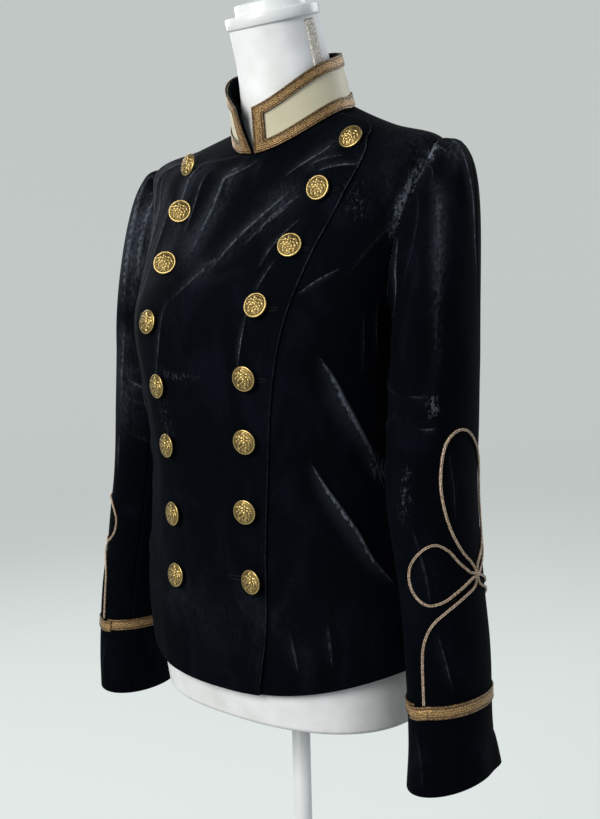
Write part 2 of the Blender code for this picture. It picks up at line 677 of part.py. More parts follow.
def make_strand(name, points, side, trees, material):
    """A length of soutache laid flat on the sleeve, just clear of its facets."""
    middle = KNOT_ANGLES[side]
    path = smooth_path(points, middle, SOUTACHE_STEP)
    laid = [sleeve_cloth(drop, middle + aside) for drop, aside in path]
    build = bmesh.new()
    rings = []
    for k, (point, normal) in enumerate(laid):
        ahead = laid[min(k + 1, len(laid) - 1)][0] - laid[max(k - 1, 0)][0]
        across = normal.cross(ahead).normalized()
        lift = SOUTACHE_GAP
        for aside in (-0.5, 0.0, 0.5):
            start = point + across * (aside * SOUTACHE_WIDTH) + normal * PROBE
            hits = [tree.ray_cast(start, -normal, 2 * PROBE)[3] for tree in trees]
            lift = max([lift] + [PROBE - hit + SOUTACHE_GAP for hit in hits if hit is not None])
        top, crown = SOUTACHE_TOP / 2, lift + SOUTACHE_HEIGHT
        corners = ((-0.5, lift), (0.5, lift), (top, crown), (-top, crown))
        rings.append([])
        for aside, height in corners:
            place, _ = mirror_pair((point + across * (aside * SOUTACHE_WIDTH) + normal * height, normal), side)
            rings[-1].append(build.verts.new(place))
    for low, high in zip(rings, rings[1:]):
        for k in range(4):
            build.faces.new([low[k], low[(k + 1) % 4], high[(k + 1) % 4], high[k]])
    build.faces.new(list(reversed(rings[0])))
    build.faces.new(rings[-1])
    return finish_mesh(name + side_name(side), build, material)


def make_knot(side, left_sleeve, material):
    """The looped knot of soutache over a cuff: a top loop, two side loops and two stems."""
    graph = bpy.context.evaluated_depsgraph_get()
    trees = [BVHTree.FromObject(piece, graph) for piece in left_sleeve]
    back_side = tuple(KnotPoint(place.drop, -place.aside) for place in KNOT_SIDE)
    back_stem = tuple(KnotPoint(place.drop, -place.aside) for place in KNOT_STEM)
    for name, points in (("knot_top_", KNOT_TOP), ("knot_front_", KNOT_SIDE), ("knot_back_", back_side),
                         ("knot_stem_front_", KNOT_STEM), ("knot_stem_back_", back_stem)):
        make_strand(name, points, side, trees, material)


def side_name(side):
    """The wearer's side in words."""
    return "left" if side > 0 else "right"


def form_point(run, turn):
    """The dress form's skin, close under the shoulders and freer lower down."""
    inner_run = min(run, NECK_RUN - 0.002)
    normal = surface_normal(body_point, inner_run, turn, 0.002, 1.0)
    ease = FORM_CLEARANCE + (FORM_SEAT - FORM_CLEARANCE) * smooth_step(FORM_SEAT_FROM, FORM_SEAT_TO, run)
    return body_point(run, turn) - normal * ease


def make_form(material):
    """The torso and neck of the form as one smooth closed solid."""
    turns = [360.0 * k / FORM_SIDES for k in range(FORM_SIDES)]
    runs = spread(FORM_FOOT_RUN, SHOULDER_RUN, FORM_ROWS)
    runs += spread(SHOULDER_RUN, NECK_RUN, FORM_SHOULDER_ROWS)[1:]
    foot = [form_point(runs[0], turn) for turn in turns]
    level = min(point.z for point in foot)
    wide, deep = FORM_FOOT_SCALE
    rings = [[Vector((point.x * wide, point.y * deep, level - FORM_FOOT_ROUND)) for point in foot],
             [Vector((point.x, point.y, level)) for point in foot]]
    rings += [[form_point(run, turn) for turn in turns] for run in runs[1:]]
    for ring in NECK_RINGS:
        points = []
        for turn in turns:
            angle = math.radians(turn)
            y = -ring.radius * math.cos(angle)
            points.append(Vector((ring.radius * math.sin(angle), ring.y + y, ring.height + ring.slope * y)))
        rings.append(points)
    make_stack("form_torso", rings, material)
    return level - FORM_FOOT_ROUND


def make_neck_cap(material):
    """The turned cap that closes the form's neck, tilted forward with it."""
    top = NECK_RINGS[-1]
    place = Matrix.Translation((0.0, top.y, top.height)) @ Matrix.Rotation(math.radians(CAP_TILT), 4, "X")
    place = place @ Matrix.Translation((0.0, 0.0, SEAM))
    rings = [round_ring(radius, height, FORM_SIDES, place) for radius, height in CAP_PROFILE + CAP_KNOB]
    rings.append(round_ring(CAP_KNOB[-1][0] / 2, CAP_TOP, FORM_SIDES, place))
    make_stack("neck_cap", rings, material)


def make_stand(form_foot, material):
    """The round base and the pole under the form."""
    base = [round_ring(BASE_RADIUS, 0.0, ROUND_SIDES),
            round_ring(BASE_RADIUS, BASE_EDGE, ROUND_SIDES),
            round_ring(BASE_RADIUS - BASE_BEVEL, BASE_HEIGHT, ROUND_SIDES),
            round_ring(SOCKET_FOOT_RADIUS, BASE_CROWN, ROUND_SIDES),
            round_ring(SOCKET_RADIUS, SOCKET_TOP, ROUND_SIDES)]
    make_stack("stand_base", base, material)
    pole = [round_ring(POLE_RADIUS, height, POLE_SIDES) for height in (SOCKET_TOP + SEAM, form_foot - SEAM)]
    make_stack("stand_pole", pole, material)


def main():
    """Build every piece of the jacket, then what it stands on."""
    clear_scene()
    velvet = make_material("black_velvet", VELVET, 0.75)
    satin = make_material("cream_satin", SATIN, 0.45)
    braid = make_material("gold_braid", BRAID_GOLD, 0.5, 0.6)
    gold = make_material("gilt_metal", BUTTON_GOLD, 0.3, 1.0)
    white = make_material("white_form", FORM_WHITE, 0.5)
    enamel = make_material("white_enamel", FORM_WHITE, 0.3)

    front_left = make_shell("front_left", front_rows(True), WALL, velvet)
    front_right = make_shell("front_right", front_rows(False), WALL, velvet)
    make_shell("back", back_rows(), WALL, velvet)
    left_sleeve = [make_sleeve(1, upper, velvet) for upper in (True, False)]
    for upper in (True, False):
        make_sleeve(-1, upper, velvet)
    for side in (1, -1):
        make_band(side, braid)
        make_knot(side, left_sleeve, braid)
    make_collar_layer("collar_stand", 0.0, WALL, velvet)
    make_collar_layer("collar_panel", SEAM + COLLAR_PANEL_WALL, COLLAR_PANEL_WALL, satin, 0.0015)
    make_collar_layer("collar_braid", 3 * SEAM + COLLAR_PANEL_WALL + BRAID_WALL, BRAID_WALL, braid, frame=True)

    mesh = button_mesh()
    mesh.materials.append(gold)
    for number, (row, tilt) in enumerate(zip(BUTTON_ROWS, BUTTON_TILTS), 1):
        place_button(f"button_left_{number}", mesh, front_right, row.left_run, row.left_turn,
                     tilt.left_tip, tilt.left_lean)
        place_button(f"button_right_{number}", mesh, front_right, row.right_run, row.right_turn,
                     tilt.right_tip, tilt.right_lean)

    form_foot = make_form(white)
    make_neck_cap(white)
    make_stand(form_foot, enamel)


main()
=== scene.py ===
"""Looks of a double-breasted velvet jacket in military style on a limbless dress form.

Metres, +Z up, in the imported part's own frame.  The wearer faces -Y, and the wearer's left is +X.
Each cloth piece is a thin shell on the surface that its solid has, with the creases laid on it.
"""
import logging
import math
from dataclasses import dataclass, field
from enum import Enum
from typing import Any, ClassVar, Optional, Sequence

import bpy
import numpy as np
from bpy.types import Material, Mesh, Node, NodeSocket, NodeTree, Object
from mathutils import Matrix, Vector


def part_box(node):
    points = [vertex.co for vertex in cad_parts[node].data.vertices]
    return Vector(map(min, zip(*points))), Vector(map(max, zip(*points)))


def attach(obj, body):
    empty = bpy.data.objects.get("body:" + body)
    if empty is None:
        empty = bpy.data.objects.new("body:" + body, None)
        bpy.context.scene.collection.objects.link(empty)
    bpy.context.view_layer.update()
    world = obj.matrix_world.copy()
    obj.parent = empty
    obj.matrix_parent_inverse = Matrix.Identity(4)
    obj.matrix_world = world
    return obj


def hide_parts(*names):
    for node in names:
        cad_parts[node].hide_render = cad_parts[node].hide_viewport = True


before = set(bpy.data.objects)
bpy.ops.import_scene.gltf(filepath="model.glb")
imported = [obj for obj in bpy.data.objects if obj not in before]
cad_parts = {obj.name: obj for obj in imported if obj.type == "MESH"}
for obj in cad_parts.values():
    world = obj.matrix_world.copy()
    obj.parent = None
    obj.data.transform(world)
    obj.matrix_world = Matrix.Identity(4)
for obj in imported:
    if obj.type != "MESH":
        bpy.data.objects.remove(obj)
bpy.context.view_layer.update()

LOG = logging.getLogger("jacket")
Array = np.ndarray

# Cloth and seams, as in the solids
WALL = 0.002
SEAM = 0.0003
LAP_RISE = 0.0025
LAP_RISE_BLEND = 14.0
ARMPIT_RUN = 0.318
SHOULDER_RUN = 0.49
NECK_RUN = 0.61
ARMHOLE_FRONT = 12.5
ARMHOLE_BACK = 30.0
SLEEVE_LENGTH = 0.38
FRONT_SEAM = 140.0

# How finely the cloth is meshed, how far sewn edges press into each other,
# and over what width a seam and a free edge round over
CELL = 0.0026
SEAM_TUCK = 0.0002
SEAM_ROLL = 0.0026
EDGE_ROLL = 0.0012
# Turned work keeps an edge that is sharper than this, in degrees
SHARP_ANGLE = 50.0


def linear(code: str) -> tuple[float, float, float, float]:
    """Turn an sRGB hex colour into linear light.

    Args:
        code: Six hex digits, such as "C8A24A".

    Returns:
        Red, green, blue and an alpha of 1.
    """
    parts = [int(code[k:k + 2], 16) / 255 for k in (0, 2, 4)]
    lit = [part / 12.92 if part <= 0.04045 else ((part + 0.055) / 1.055) ** 2.4 for part in parts]
    return lit[0], lit[1], lit[2], 1.0


def smooth_step(low: Any, high: Any, at: Any) -> Array:
    """An S curve from 0 at low to 1 at high.

    Args:
        low: Where the curve starts to rise.
        high: Where it has risen.
        at: The places to read.

    Returns:
        The curve's values.
    """
    part = np.clip((np.asarray(at, float) - low) / (high - low), 0.0, 1.0)
    return part * part * (3.0 - 2.0 * part)


def unit(vectors: Array) -> Array:
    """Vectors brought to length 1."""
    return vectors / np.maximum(np.linalg.norm(vectors, axis=-1, keepdims=True), 1e-12)


@dataclass(frozen=True)
class SizeTable:
    """Sizes in rows along a length, read smoothly between the rows.

    The first column is the place along the length.
    """

    columns: tuple[str, ...]
    rows: tuple[tuple[float, ...], ...]

    def read(self, column: str, at: Any) -> Array:
        """Read one column at many places.

        Args:
            column: The column's name.
            at: Places along the length.

        Returns:
            The column's values there.
        """
        table = np.array(self.rows)
        keys, values = table[:, 0], table[:, self.columns.index(column)]
        at = np.clip(np.asarray(at, float), keys[0], keys[-1])
        last = len(keys) - 1
        index = np.clip(np.searchsorted(keys, at, side="left") - 1, 0, last - 1)
        low = np.maximum(np.arange(last + 1) - 1, 0)
        high = np.minimum(np.arange(last + 1) + 1, last)
        slopes = (values[high] - values[low]) / (keys[high] - keys[low])
        step = keys[index + 1] - keys[index]
        part = (at - keys[index]) / step
        square, cube = part * part, part * part * part
        return ((2 * cube - 3 * square + 1) * values[index]
                + (cube - 2 * square + part) * step * slopes[index]
                + (3 * square - 2 * cube) * values[index + 1]
                + (cube - square) * step * slopes[index + 1])


BODY_RINGS = SizeTable(
    ("run", "height", "slope", "dip", "half_width",
     "front_y", "side_y", "back_y", "front_power", "back_power"),
    (
        (-0.050, 0.762, 0.00, 0.012, 0.154, -0.110, -0.004, 0.102, 2.4, 2.2),
        (0.000, 0.812, 0.00, 0.026, 0.163, -0.116, -0.004, 0.107, 2.4, 2.3),
        (0.055, 0.867, 0.00, 0.018, 0.169, -0.118, -0.004, 0.109, 2.4, 2.3),
        (0.120, 0.932, 0.00, 0.008, 0.155, -0.121, -0.006, 0.100, 2.4, 2.3),
        (0.190, 1.000, 0.00, 0.003, 0.143, -0.125, -0.008, 0.088, 2.4, 2.3),
        (0.250, 1.060, 0.00, 0.000, 0.145, -0.130, -0.008, 0.093, 2.5, 2.3),
        (0.325, 1.135, 0.00, 0.000, 0.151, -0.131, -0.006, 0.104, 2.8, 2.4),
        (0.390, 1.200, 0.08, 0.000, 0.158, -0.105, -0.005, 0.106, 2.5, 2.4),
        (0.450, 1.255, 0.15, 0.004, 0.170, -0.075, -0.003, 0.098, 2.3, 2.3),
        (0.490, 1.293, 0.10, 0.018, 0.179, -0.061, 0.000, 0.080, 2.0, 2.1),
        (0.550, 1.311, 0.20, 0.019, 0.120, -0.052, 0.005, 0.071, 2.0, 2.0),
        (0.610, 1.329, 0.345, 0.018, 0.0616, -0.0437, 0.011, 0.066, 2.0, 2.0),
    ))
LAP_ROWS = SizeTable(
    ("run", "under_edge", "lap_edge"),
    (
        (0, -20, 15), (0.06, -20, 18.5), (0.12, -21, 21.7), (0.196, -22, 26.8),
        (0.283, -24, 30.2), (0.354, -27, 35), (0.422, -30, 39.8), (0.462, -32, 42.8),
        (0.5, -34, 49.5), (0.531, -33, 60.5), (0.557, -26, 79), (0.575, -20, 87),
        (0.61, -8, 87.5),
    ))
SLEEVE_RINGS = SizeTable(
    ("drop", "x", "y", "height", "half_x", "half_y", "tilt"),
    (
        (0.00, 0.1870, -0.0145, 1.105, 0.0340, 0.0495, 0.00),
        (0.06, 0.1860, -0.0175, 1.045, 0.0340, 0.0520, 0.00),
        (0.13, 0.1870, -0.0220, 0.978, 0.0340, 0.0520, 0.01),
        (0.21, 0.2005, -0.0280, 0.898, 0.0320, 0.0475, 0.02),
        (0.27, 0.2095, -0.0325, 0.840, 0.0320, 0.0480, 0.02),
        (0.34, 0.2145, -0.0365, 0.768, 0.0320, 0.0470, 0.05),
        (0.38, 0.2135, -0.0345, 0.728, 0.0345, 0.0500, 0.12),
    ))
BACK_SEAM_ROWS = SizeTable(
    ("drop", "angle"),
    (
        (-1, -20), (-0.6, -12), (-0.35, -14), (-0.15, -25),
        (0.06, -48), (0.13, -56), (0.38, -60),
    ))


class ClothSurface:
    """A smooth surface of the garment, read with two numbers: along it and around it, in degrees."""

    hand: int = 1

    def point(self, along: Any, around: Any) -> Array:
        """Places on the surface.

        Args:
            along: First coordinate of each place.
            around: Second coordinate, in degrees.

        Returns:
            Points, with x, y and z last.
        """
        raise NotImplementedError

    def steps(self, along: Array) -> tuple[Array, Array]:
        """How the normal is measured.

        Args:
            along: First coordinate of each place.

        Returns:
            The coordinate kept inside the surface, and the step taken from it.
        """
        raise NotImplementedError

    def normal(self, along: Any, around: Any, turn_step: float = 1.5) -> Array:
        """The outward direction at places on the surface.

        Args:
            along: First coordinate of each place.
            around: Second coordinate, in degrees.
            turn_step: Step around the surface, in degrees.

        Returns:
            Unit vectors.
        """
        along, around = np.broadcast_arrays(np.asarray(along, float), np.asarray(around, float))
        middle, step = self.steps(along)
        lengthwise = self.point(middle + step, around) - self.point(middle - step, around)
        crosswise = self.point(middle, around + turn_step) - self.point(middle, around - turn_step)
        return self.hand * unit(np.cross(crosswise, lengthwise))


class BodySurface(ClothSurface):
    """The torso of the garment: along it is the run from the hem, around it the turn from centre front."""

    def point(self, along: Any, around: Any) -> Array:
        """Places on the torso.

        Args:
            along: Runs from the hem.
            around: Turns from centre front, in degrees.

        Returns:
            Points, with x, y and z last.
        """
        run, turn = np.broadcast_arrays(np.asarray(along, float), np.asarray(around, float))
        size = {name: BODY_RINGS.read(name, run) for name in BODY_RINGS.columns[1:]}
        ahead, across = np.cos(np.radians(turn)), np.sin(np.radians(turn))
        in_front = ahead > 0
        power = np.where(in_front, size["front_power"], size["back_power"])
        reach = np.abs(ahead) ** (2.0 / power)
        blend = smooth_step(-0.4, 0.4, ahead)
        side_power = size["back_power"] + (size["front_power"] - size["back_power"]) * blend
        x = size["half_width"] * np.sign(across) * np.abs(across) ** (2.0 / side_power)
        deep = np.where(in_front, size["front_y"], size["back_y"])
        y = size["side_y"] + (deep - size["side_y"]) * reach
        z = (size["height"] + size["slope"] * (y - size["side_y"])
             - size["dip"] * np.maximum(ahead, 0.0) ** 2)
        return np.stack([x, y, z], axis=-1)

    def steps(self, along: Array) -> tuple[Array, Array]:
        """Keep clear of both ends of the table."""
        return np.clip(along, -0.048, NECK_RUN - 0.002), np.full_like(along, 0.002)

    def lap_rise(self, run: Any, turn: Any) -> Array:
        """How far the upper front is lifted over the hidden part of the lower one.

        Args:
            run: Runs from the hem.
            turn: Turns from centre front.

        Returns:
            Heights in metres.
        """
        under = LAP_ROWS.read("under_edge", run)
        return LAP_RISE * smooth_step(under - LAP_RISE_BLEND, under - 2.0, turn)


class SleeveSurface(ClothSurface):
    """A sleeve: along it is -1 at the armhole, 0 at the foot of its cap, then metres down the arm.

    Around it 0 is outward, 90 in front, 180 towards the body and 270 behind.
    """

    cap_out_top: float = 0.052
    cap_out_pit: float = 0.008
    cap_lift: float = 0.22
    cap_drop: float = 0.58
    tilt_towards: tuple[float, float] = (0.743, 0.669)

    def __init__(self, body: BodySurface, side: int) -> None:
        """Hang a sleeve on the torso.

        Args:
            body: The torso.
            side: 1 for the wearer's left, -1 for the right.
        """
        self.body = body
        self.hand = side

    def armhole(self, angle: Array) -> Array:
        """The first stitches of the left sleeve.

        Args:
            angle: Angles round the sleeve, in degrees.

        Returns:
            Points.
        """
        middle = (ARMPIT_RUN + SHOULDER_RUN) / 2
        half = (SHOULDER_RUN - ARMPIT_RUN) / 2 - 2 * SEAM
        across = np.sin(np.radians(angle))
        opening = np.where(across > 0, ARMHOLE_FRONT, ARMHOLE_BACK)
        return self.body.point(middle + half * np.cos(np.radians(angle)), 90.0 - opening * across)

    def tube(self, drop: Array, angle: Array) -> Array:
        """The left sleeve below its cap.

        Args:
            drop: Metres down from the foot of the cap.
            angle: Angles round the sleeve, in degrees.

        Returns:
            Points.
        """
        size = {name: SLEEVE_RINGS.read(name, drop) for name in SLEEVE_RINGS.columns[1:]}
        dx = size["half_x"] * np.cos(np.radians(angle))
        dy = -size["half_y"] * np.sin(np.radians(angle))
        rise = size["tilt"] * (dx * self.tilt_towards[0] + dy * self.tilt_towards[1])
        return np.stack([size["x"] + dx, size["y"] + dy, size["height"] + rise], axis=-1)

    def point(self, along: Any, around: Any) -> Array:
        """Places on the sleeve.

        Args:
            along: Share of the cap less 1, then metres down.
            around: Angles round the sleeve, in degrees.

        Returns:
            Points, with x, y and z last.
        """
        drop, angle = np.broadcast_arrays(np.asarray(along, float), np.asarray(around, float))
        start, end = self.armhole(angle), self.tube(np.zeros_like(drop), angle)
        top = (1.0 + np.cos(np.radians(angle))) / 2
        reach = self.cap_out_pit + (self.cap_out_top - self.cap_out_pit) * top
        leave = start + np.stack([reach, np.zeros_like(reach), reach * self.cap_lift * top], axis=-1)
        fall = (start[..., 2] - end[..., 2]) * self.cap_drop
        arrive = end + np.stack([np.zeros_like(fall), np.zeros_like(fall), fall], axis=-1)
        part = np.clip(drop + 1.0, 0.0, 1.0)[..., None]
        rest = 1.0 - part
        cap = (start * rest ** 3 + leave * 3 * part * rest ** 2
               + arrive * 3 * part ** 2 * rest + end * part ** 3)
        found = np.where(drop[..., None] >= 0.0, self.tube(np.maximum(drop, 0.0), angle), cap)
        return found * np.array([self.hand, 1.0, 1.0])

    def steps(self, along: Array) -> tuple[Array, Array]:
        """Steps in the cap are shares of it, and below it metres."""
        step = np.where(along < 0.0, 0.02, 0.002)
        return np.clip(along, step - 1.0, SLEEVE_LENGTH - step), step


class CollarSurface(ClothSurface):
    """The stand collar: along it is 0 at its foot and 1 at its top, around it as on the torso, 0 to 360."""

    top_height: float = 1.3785
    top_slope: float = 0.34
    top_dip: float = 0.0245
    half_width: float = 0.053
    front_y: float = -0.059
    side_y: float = -0.001
    back_y: float = 0.055
    right_lift: float = 0.01
    foot_gap: float = 0.0022
    top_gap: float = 0.02
    height: float = 0.0525

    def __init__(self, body: BodySurface) -> None:
        """Stand the collar on the torso's neck seam.

        Args:
            body: The torso.
        """
        self.body = body

    def point(self, along: Any, around: Any) -> Array:
        """Places on the collar.

        Args:
            along: Shares of the collar's height.
            around: Turns from centre front, 0 to 360.

        Returns:
            Points, with x, y and z last.
        """
        part, turn = np.broadcast_arrays(np.asarray(along, float), np.asarray(around, float))
        ahead, across = np.cos(np.radians(turn)), np.sin(np.radians(turn))
        about = np.where(turn > 180.0, turn - 360.0, turn)
        rise = self.body.lap_rise(NECK_RUN, about) * (1.0 - smooth_step(90.0, 110.0, about))
        seam = np.full_like(turn, NECK_RUN)
        foot = self.body.point(seam, turn) + self.body.normal(seam, turn) * rise[..., None]
        foot[..., 2] += 2 * SEAM
        y = self.side_y + (np.where(ahead > 0, self.front_y, self.back_y) - self.side_y) * np.abs(ahead)
        z = (self.top_height + self.top_slope * (y - self.side_y)
             - self.top_dip * np.maximum(ahead, 0.0) ** 2)
        z = z + self.right_lift * np.maximum(ahead, 0.0) * smooth_step(0.0, 0.6, -across)
        top = np.stack([self.half_width * across, y, z], axis=-1)
        return foot + (top - foot) * part[..., None]

    def steps(self, along: Array) -> tuple[Array, Array]:
        """The collar is straight from foot to top, so a long step serves."""
        return along, np.full_like(along, 0.1)

    def end(self, part: Any) -> Array:
        """The turn at which the collar's front end stands, at a share of its height."""
        gap = self.foot_gap + (self.top_gap - self.foot_gap) * np.asarray(part, float)
        return np.degrees(np.arcsin(gap / 2 / self.half_width))


class CreaseForm(Enum):
    """How a line is pressed into the cloth, and the painted highlight specks or painted sheen that PATCH
    and HAZE leave over an area.
    """

    RIDGE = "a round rise"
    TROUGH = "a round hollow"
    ROLL = "a rise with one steep side"
    PATCH = "pile crushed flat in specks over an area"
    HAZE = "pile leaning to the light over an area"


@dataclass
class Pile:
    """How the pile lies at each point of the cloth.

    offset is the distance from the nearest crease's crest, in the half width of its glint and signed
    by the side.  shine is how bright a highlight is painted on that crest, patch how much of the pile
    is crushed about the point, shown as painted highlight specks, and haze how much painted sheen the
    point gets where the pile leans to the light.
    """

    far: ClassVar[float] = 9.0

    height: Array
    offset: Array
    shine: Array
    patch: Array
    haze: Array

    @classmethod
    def smooth(cls, shape: tuple[int, ...]) -> "Pile":
        """Pile with no crease in it."""
        flat = [np.zeros(shape) for _ in range(4)]
        return cls(flat[0], np.full(shape, cls.far), *flat[1:])

    def masked(self, share: Array) -> "Pile":
        """The same pile, its creases faded where the share falls to 0."""
        return Pile(self.height * share, self.offset,
                    self.shine * share, self.patch * share, self.haze * share)


@dataclass(frozen=True)
class Crease:
    """A line pressed into the cloth.

    path is its places on the surface, height and half_width are metres, and shine is how bright a
    highlight is painted on its crest.  glint is the width of that painted highlight as a share of
    half_width.
    """

    path: tuple[tuple[float, float], ...]
    height: float
    half_width: float
    shine: float = 0.0
    form: CreaseForm = CreaseForm.ROLL
    glint: float = 0.26
    steep: float = 0.5
    samples: int = 10

    def press(self, surface: ClothSurface, places: Array, pile: Pile) -> None:
        """Press the crease into the cloth.

        Args:
            surface: The surface that the crease lies on.
            places: Points of the cloth, one in a row.
            pile: The pile there, which is changed.
        """
        line = smooth_line(np.array(self.path), self.samples)
        middle = surface.point(line[:, 0], line[:, 1])
        outward = surface.normal(line[:, 0], line[:, 1])
        margin = 3.2 * self.half_width
        near = np.all((places > middle.min(0) - margin) & (places < middle.max(0) + margin), axis=1)
        if not near.any():
            return
        start, run = middle[:-1], np.diff(middle, axis=0)
        gone = places[near][:, None, :] - start[None]
        share = np.clip((gone * run).sum(-1) / np.maximum((run * run).sum(-1), 1e-12), 0.0, 1.0)
        away = gone - share[..., None] * run
        distance = np.linalg.norm(away, axis=-1)
        best = distance.argmin(axis=1)
        pick = np.arange(len(best))
        distance = distance[pick, best]
        beside = unit(np.cross(outward[:-1], run))
        side = np.sign((away[pick, best] * beside[best]).sum(-1))
        swell = np.sin(np.pi * np.clip((best + share[pick, best]) / len(run), 0.01, 0.99))
        steep = np.where((side > 0) & (self.form is CreaseForm.ROLL), self.steep, 1.0)
        profile = np.exp(-((distance / (steep * self.half_width)) ** 2)) * swell ** 0.7
        pile.height[near] += self.height * profile * (-1.0 if self.form is CreaseForm.TROUGH else 1.0)
        if self.form in (CreaseForm.PATCH, CreaseForm.HAZE):
            area = pile.patch if self.form is CreaseForm.PATCH else pile.haze
            area[near] = np.maximum(area[near], self.shine * profile)
            return
        width = self.glint * self.half_width * (0.35 + 0.65 * swell)
        offset = side * distance / width
        reach = np.where(side > 0, 1.9, 4.2)
        fade = 1.0 - smooth_step(0.55, 0.9, distance / margin)
        strength = self.shine * swell ** 0.5 * np.exp(-((offset / reach) ** 2)) * fade
        wins = strength > pile.shine[near]
        pile.offset[near] = np.where(wins, offset, pile.offset[near])
        pile.shine[near] = np.where(wins, strength, pile.shine[near])


def smooth_line(points: Array, samples: int) -> Array:
    """A smooth curve through points.

    Args:
        points: The points, one in a row.
        samples: Places on each stretch.

    Returns:
        Places along the curve, its last point included.
    """
    padded = np.vstack([points[:1], points, points[-1:]])
    found = []
    for k in range(len(points) - 1):
        a, b, c, d = padded[k:k + 4]
        for part in np.linspace(0, 1, samples, endpoint=False):
            found.append(0.5 * (2 * b + (c - a) * part + (2 * a - 5 * b + 4 * c - d) * part ** 2
                                + (3 * b - a - 3 * c + d) * part ** 3))
    return np.array(found + [points[-1]])


def crease_rows(*rows: tuple) -> tuple[Crease, ...]:
    """Read creases from rows.

    Args:
        rows: For each crease its points, height and half width in millimetres, shine, and where they
            aren't the usual ones its form and glint.

    Returns:
        The creases.
    """
    return tuple(Crease(path, height / 1000, width / 1000, *rest) for path, height, width, *rest in rows)


def press_all(surface: ClothSurface, creases: Sequence[Crease], places: Array) -> Pile:
    """Lay a set of creases on the cloth.

    Args:
        surface: The surface that they lie on.
        creases: The creases.
        places: Points of the cloth, in any grid.

    Returns:
        The pile, in the same grid.
    """
    flat = places.reshape(-1, 3)
    pile = Pile.smooth((len(flat),))
    for crease in creases:
        crease.press(surface, flat, pile)
    shape = places.shape[:-1]
    return Pile(*(values.reshape(shape) for values in vars(pile).values()))


@dataclass(frozen=True)
class EdgedLine:
    """Places across a panel from edge to edge, close together where the edges round over.

    length is the real width, and roll the width over which each edge rounds over.
    """

    length: float
    cell: float = CELL
    roll: tuple[float, float] = (SEAM_ROLL, SEAM_ROLL)

    def offsets(self) -> Array:
        """Distances from the first edge."""
        near = [share * self.roll[0] for share in (0.0, 0.12, 0.4, 1.0)]
        far = [self.length - share * self.roll[1] for share in (1.0, 0.4, 0.12, 0.0)]
        count = max(1, round((far[0] - near[-1]) / self.cell))
        return np.concatenate([near[:-1], np.linspace(near[-1], far[0], count + 1), far[1:]])

    def shares(self) -> Array:
        """The same places as shares of the width."""
        return self.offsets() / self.length

    def lowering(self) -> Array:
        """How far the face has sunk at each place, as a share of half the cloth's thickness."""
        offsets = self.offsets()
        near = np.clip(1.0 - offsets / self.roll[0], 0.0, 1.0)
        far = np.clip(1.0 - (self.length - offsets) / self.roll[1], 0.0, 1.0)
        inward = np.maximum(near, far)
        return 1.0 - np.sqrt(np.clip(1.0 - inward * inward, 0.0, 1.0))


def add_mesh(name: str, vertices: Array, faces: Sequence[Sequence[int]], material: Material,
             values: Optional[dict[str, Array]] = None, uv: Optional[Array] = None) -> Object:
    """Make a smooth-shaded object.

    Args:
        name: The object's name.
        vertices: Points.
        faces: Point numbers of each face, turning left as seen from outside.
        material: The finish.
        values: Named values at each point, which the finish reads.
        uv: Along and across at each face corner, for woven trims.

    Returns:
        The object, linked into the scene.
    """
    mesh = bpy.data.meshes.new(name)
    mesh.from_pydata(vertices.tolist(), [], faces)
    mesh.shade_smooth()
    for key, value in (values or {}).items():
        mesh.attributes.new(key, "FLOAT", "POINT").data.foreach_set("value", value.astype(np.float32))
    if uv is not None:
        mesh.uv_layers.new(name="weave").data.foreach_set("uv", uv.astype(np.float32).ravel())
    mesh.materials.append(material)
    made = bpy.data.objects.new(name, mesh)
    bpy.context.scene.collection.objects.link(made)
    return made


def add_shell(name: str, outer: Array, inner: Array, material: Material, hand: int = 1,
              closed: bool = False, pile: Optional[Pile] = None,
              weave: Optional[tuple[Array, Array]] = None) -> Object:
    """Make a closed wall from its two faces, which meet in a shared line at every free edge.

    Args:
        name: The object's name.
        outer: Grid of points on the outer face.
        inner: The same grid on the inner face.
        material: The finish.
        hand: -1 where the grid is a mirror image.
        closed: Whether the last column joins the first.
        pile: How the pile lies on the outer face.
        weave: Lengths along the columns, one more than there are if closed, and shares across the rows.

    Returns:
        The object.
    """
    rows, columns = outer.shape[:2]
    number = np.arange(rows * columns).reshape(rows, columns)
    inside = number + rows * columns
    inside[[0, -1]] = number[[0, -1]]
    if not closed:
        inside[:, [0, -1]] = number[:, [0, -1]]
    points = np.concatenate([outer.reshape(-1, 3), inner.reshape(-1, 3)])
    across = np.arange(columns if closed else columns - 1)
    following = (across + 1) % columns
    quads = []
    for grid, turn in ((number, hand), (inside, -hand)):
        loop = [grid[:-1][:, across], grid[:-1][:, following], grid[1:][:, following], grid[1:][:, across]]
        quads.append(np.stack(loop if turn > 0 else loop[::-1], axis=-1).reshape(-1, 4))
    faces = np.concatenate(quads)
    used, renumbered = np.unique(faces, return_inverse=True)
    faces = renumbered.reshape(-1, 4)
    values = {}
    for key in ("offset", "shine", "patch", "haze") if pile is not None else ():
        hidden = np.full(rows * columns, Pile.far if key == "offset" else 0.0)
        values[f"pile_{key}"] = np.concatenate([getattr(pile, key).ravel(), hidden])[used]
    corners = None
    if weave is not None:
        along, over = np.meshgrid(across, np.arange(rows - 1))
        places = []
        for turn in (hand, -hand):
            loop = [(along, over), (along + 1, over), (along + 1, over + 1), (along, over + 1)]
            ends = [np.stack([weave[0][a], weave[1][b]], -1) for a, b in (loop if turn > 0 else loop[::-1])]
            places.append(np.stack(ends, axis=2).reshape(-1, 4, 2))
        corners = np.concatenate(places).reshape(-1, 2)
    return add_mesh(name, points[used], faces.tolist(), material, values, corners)


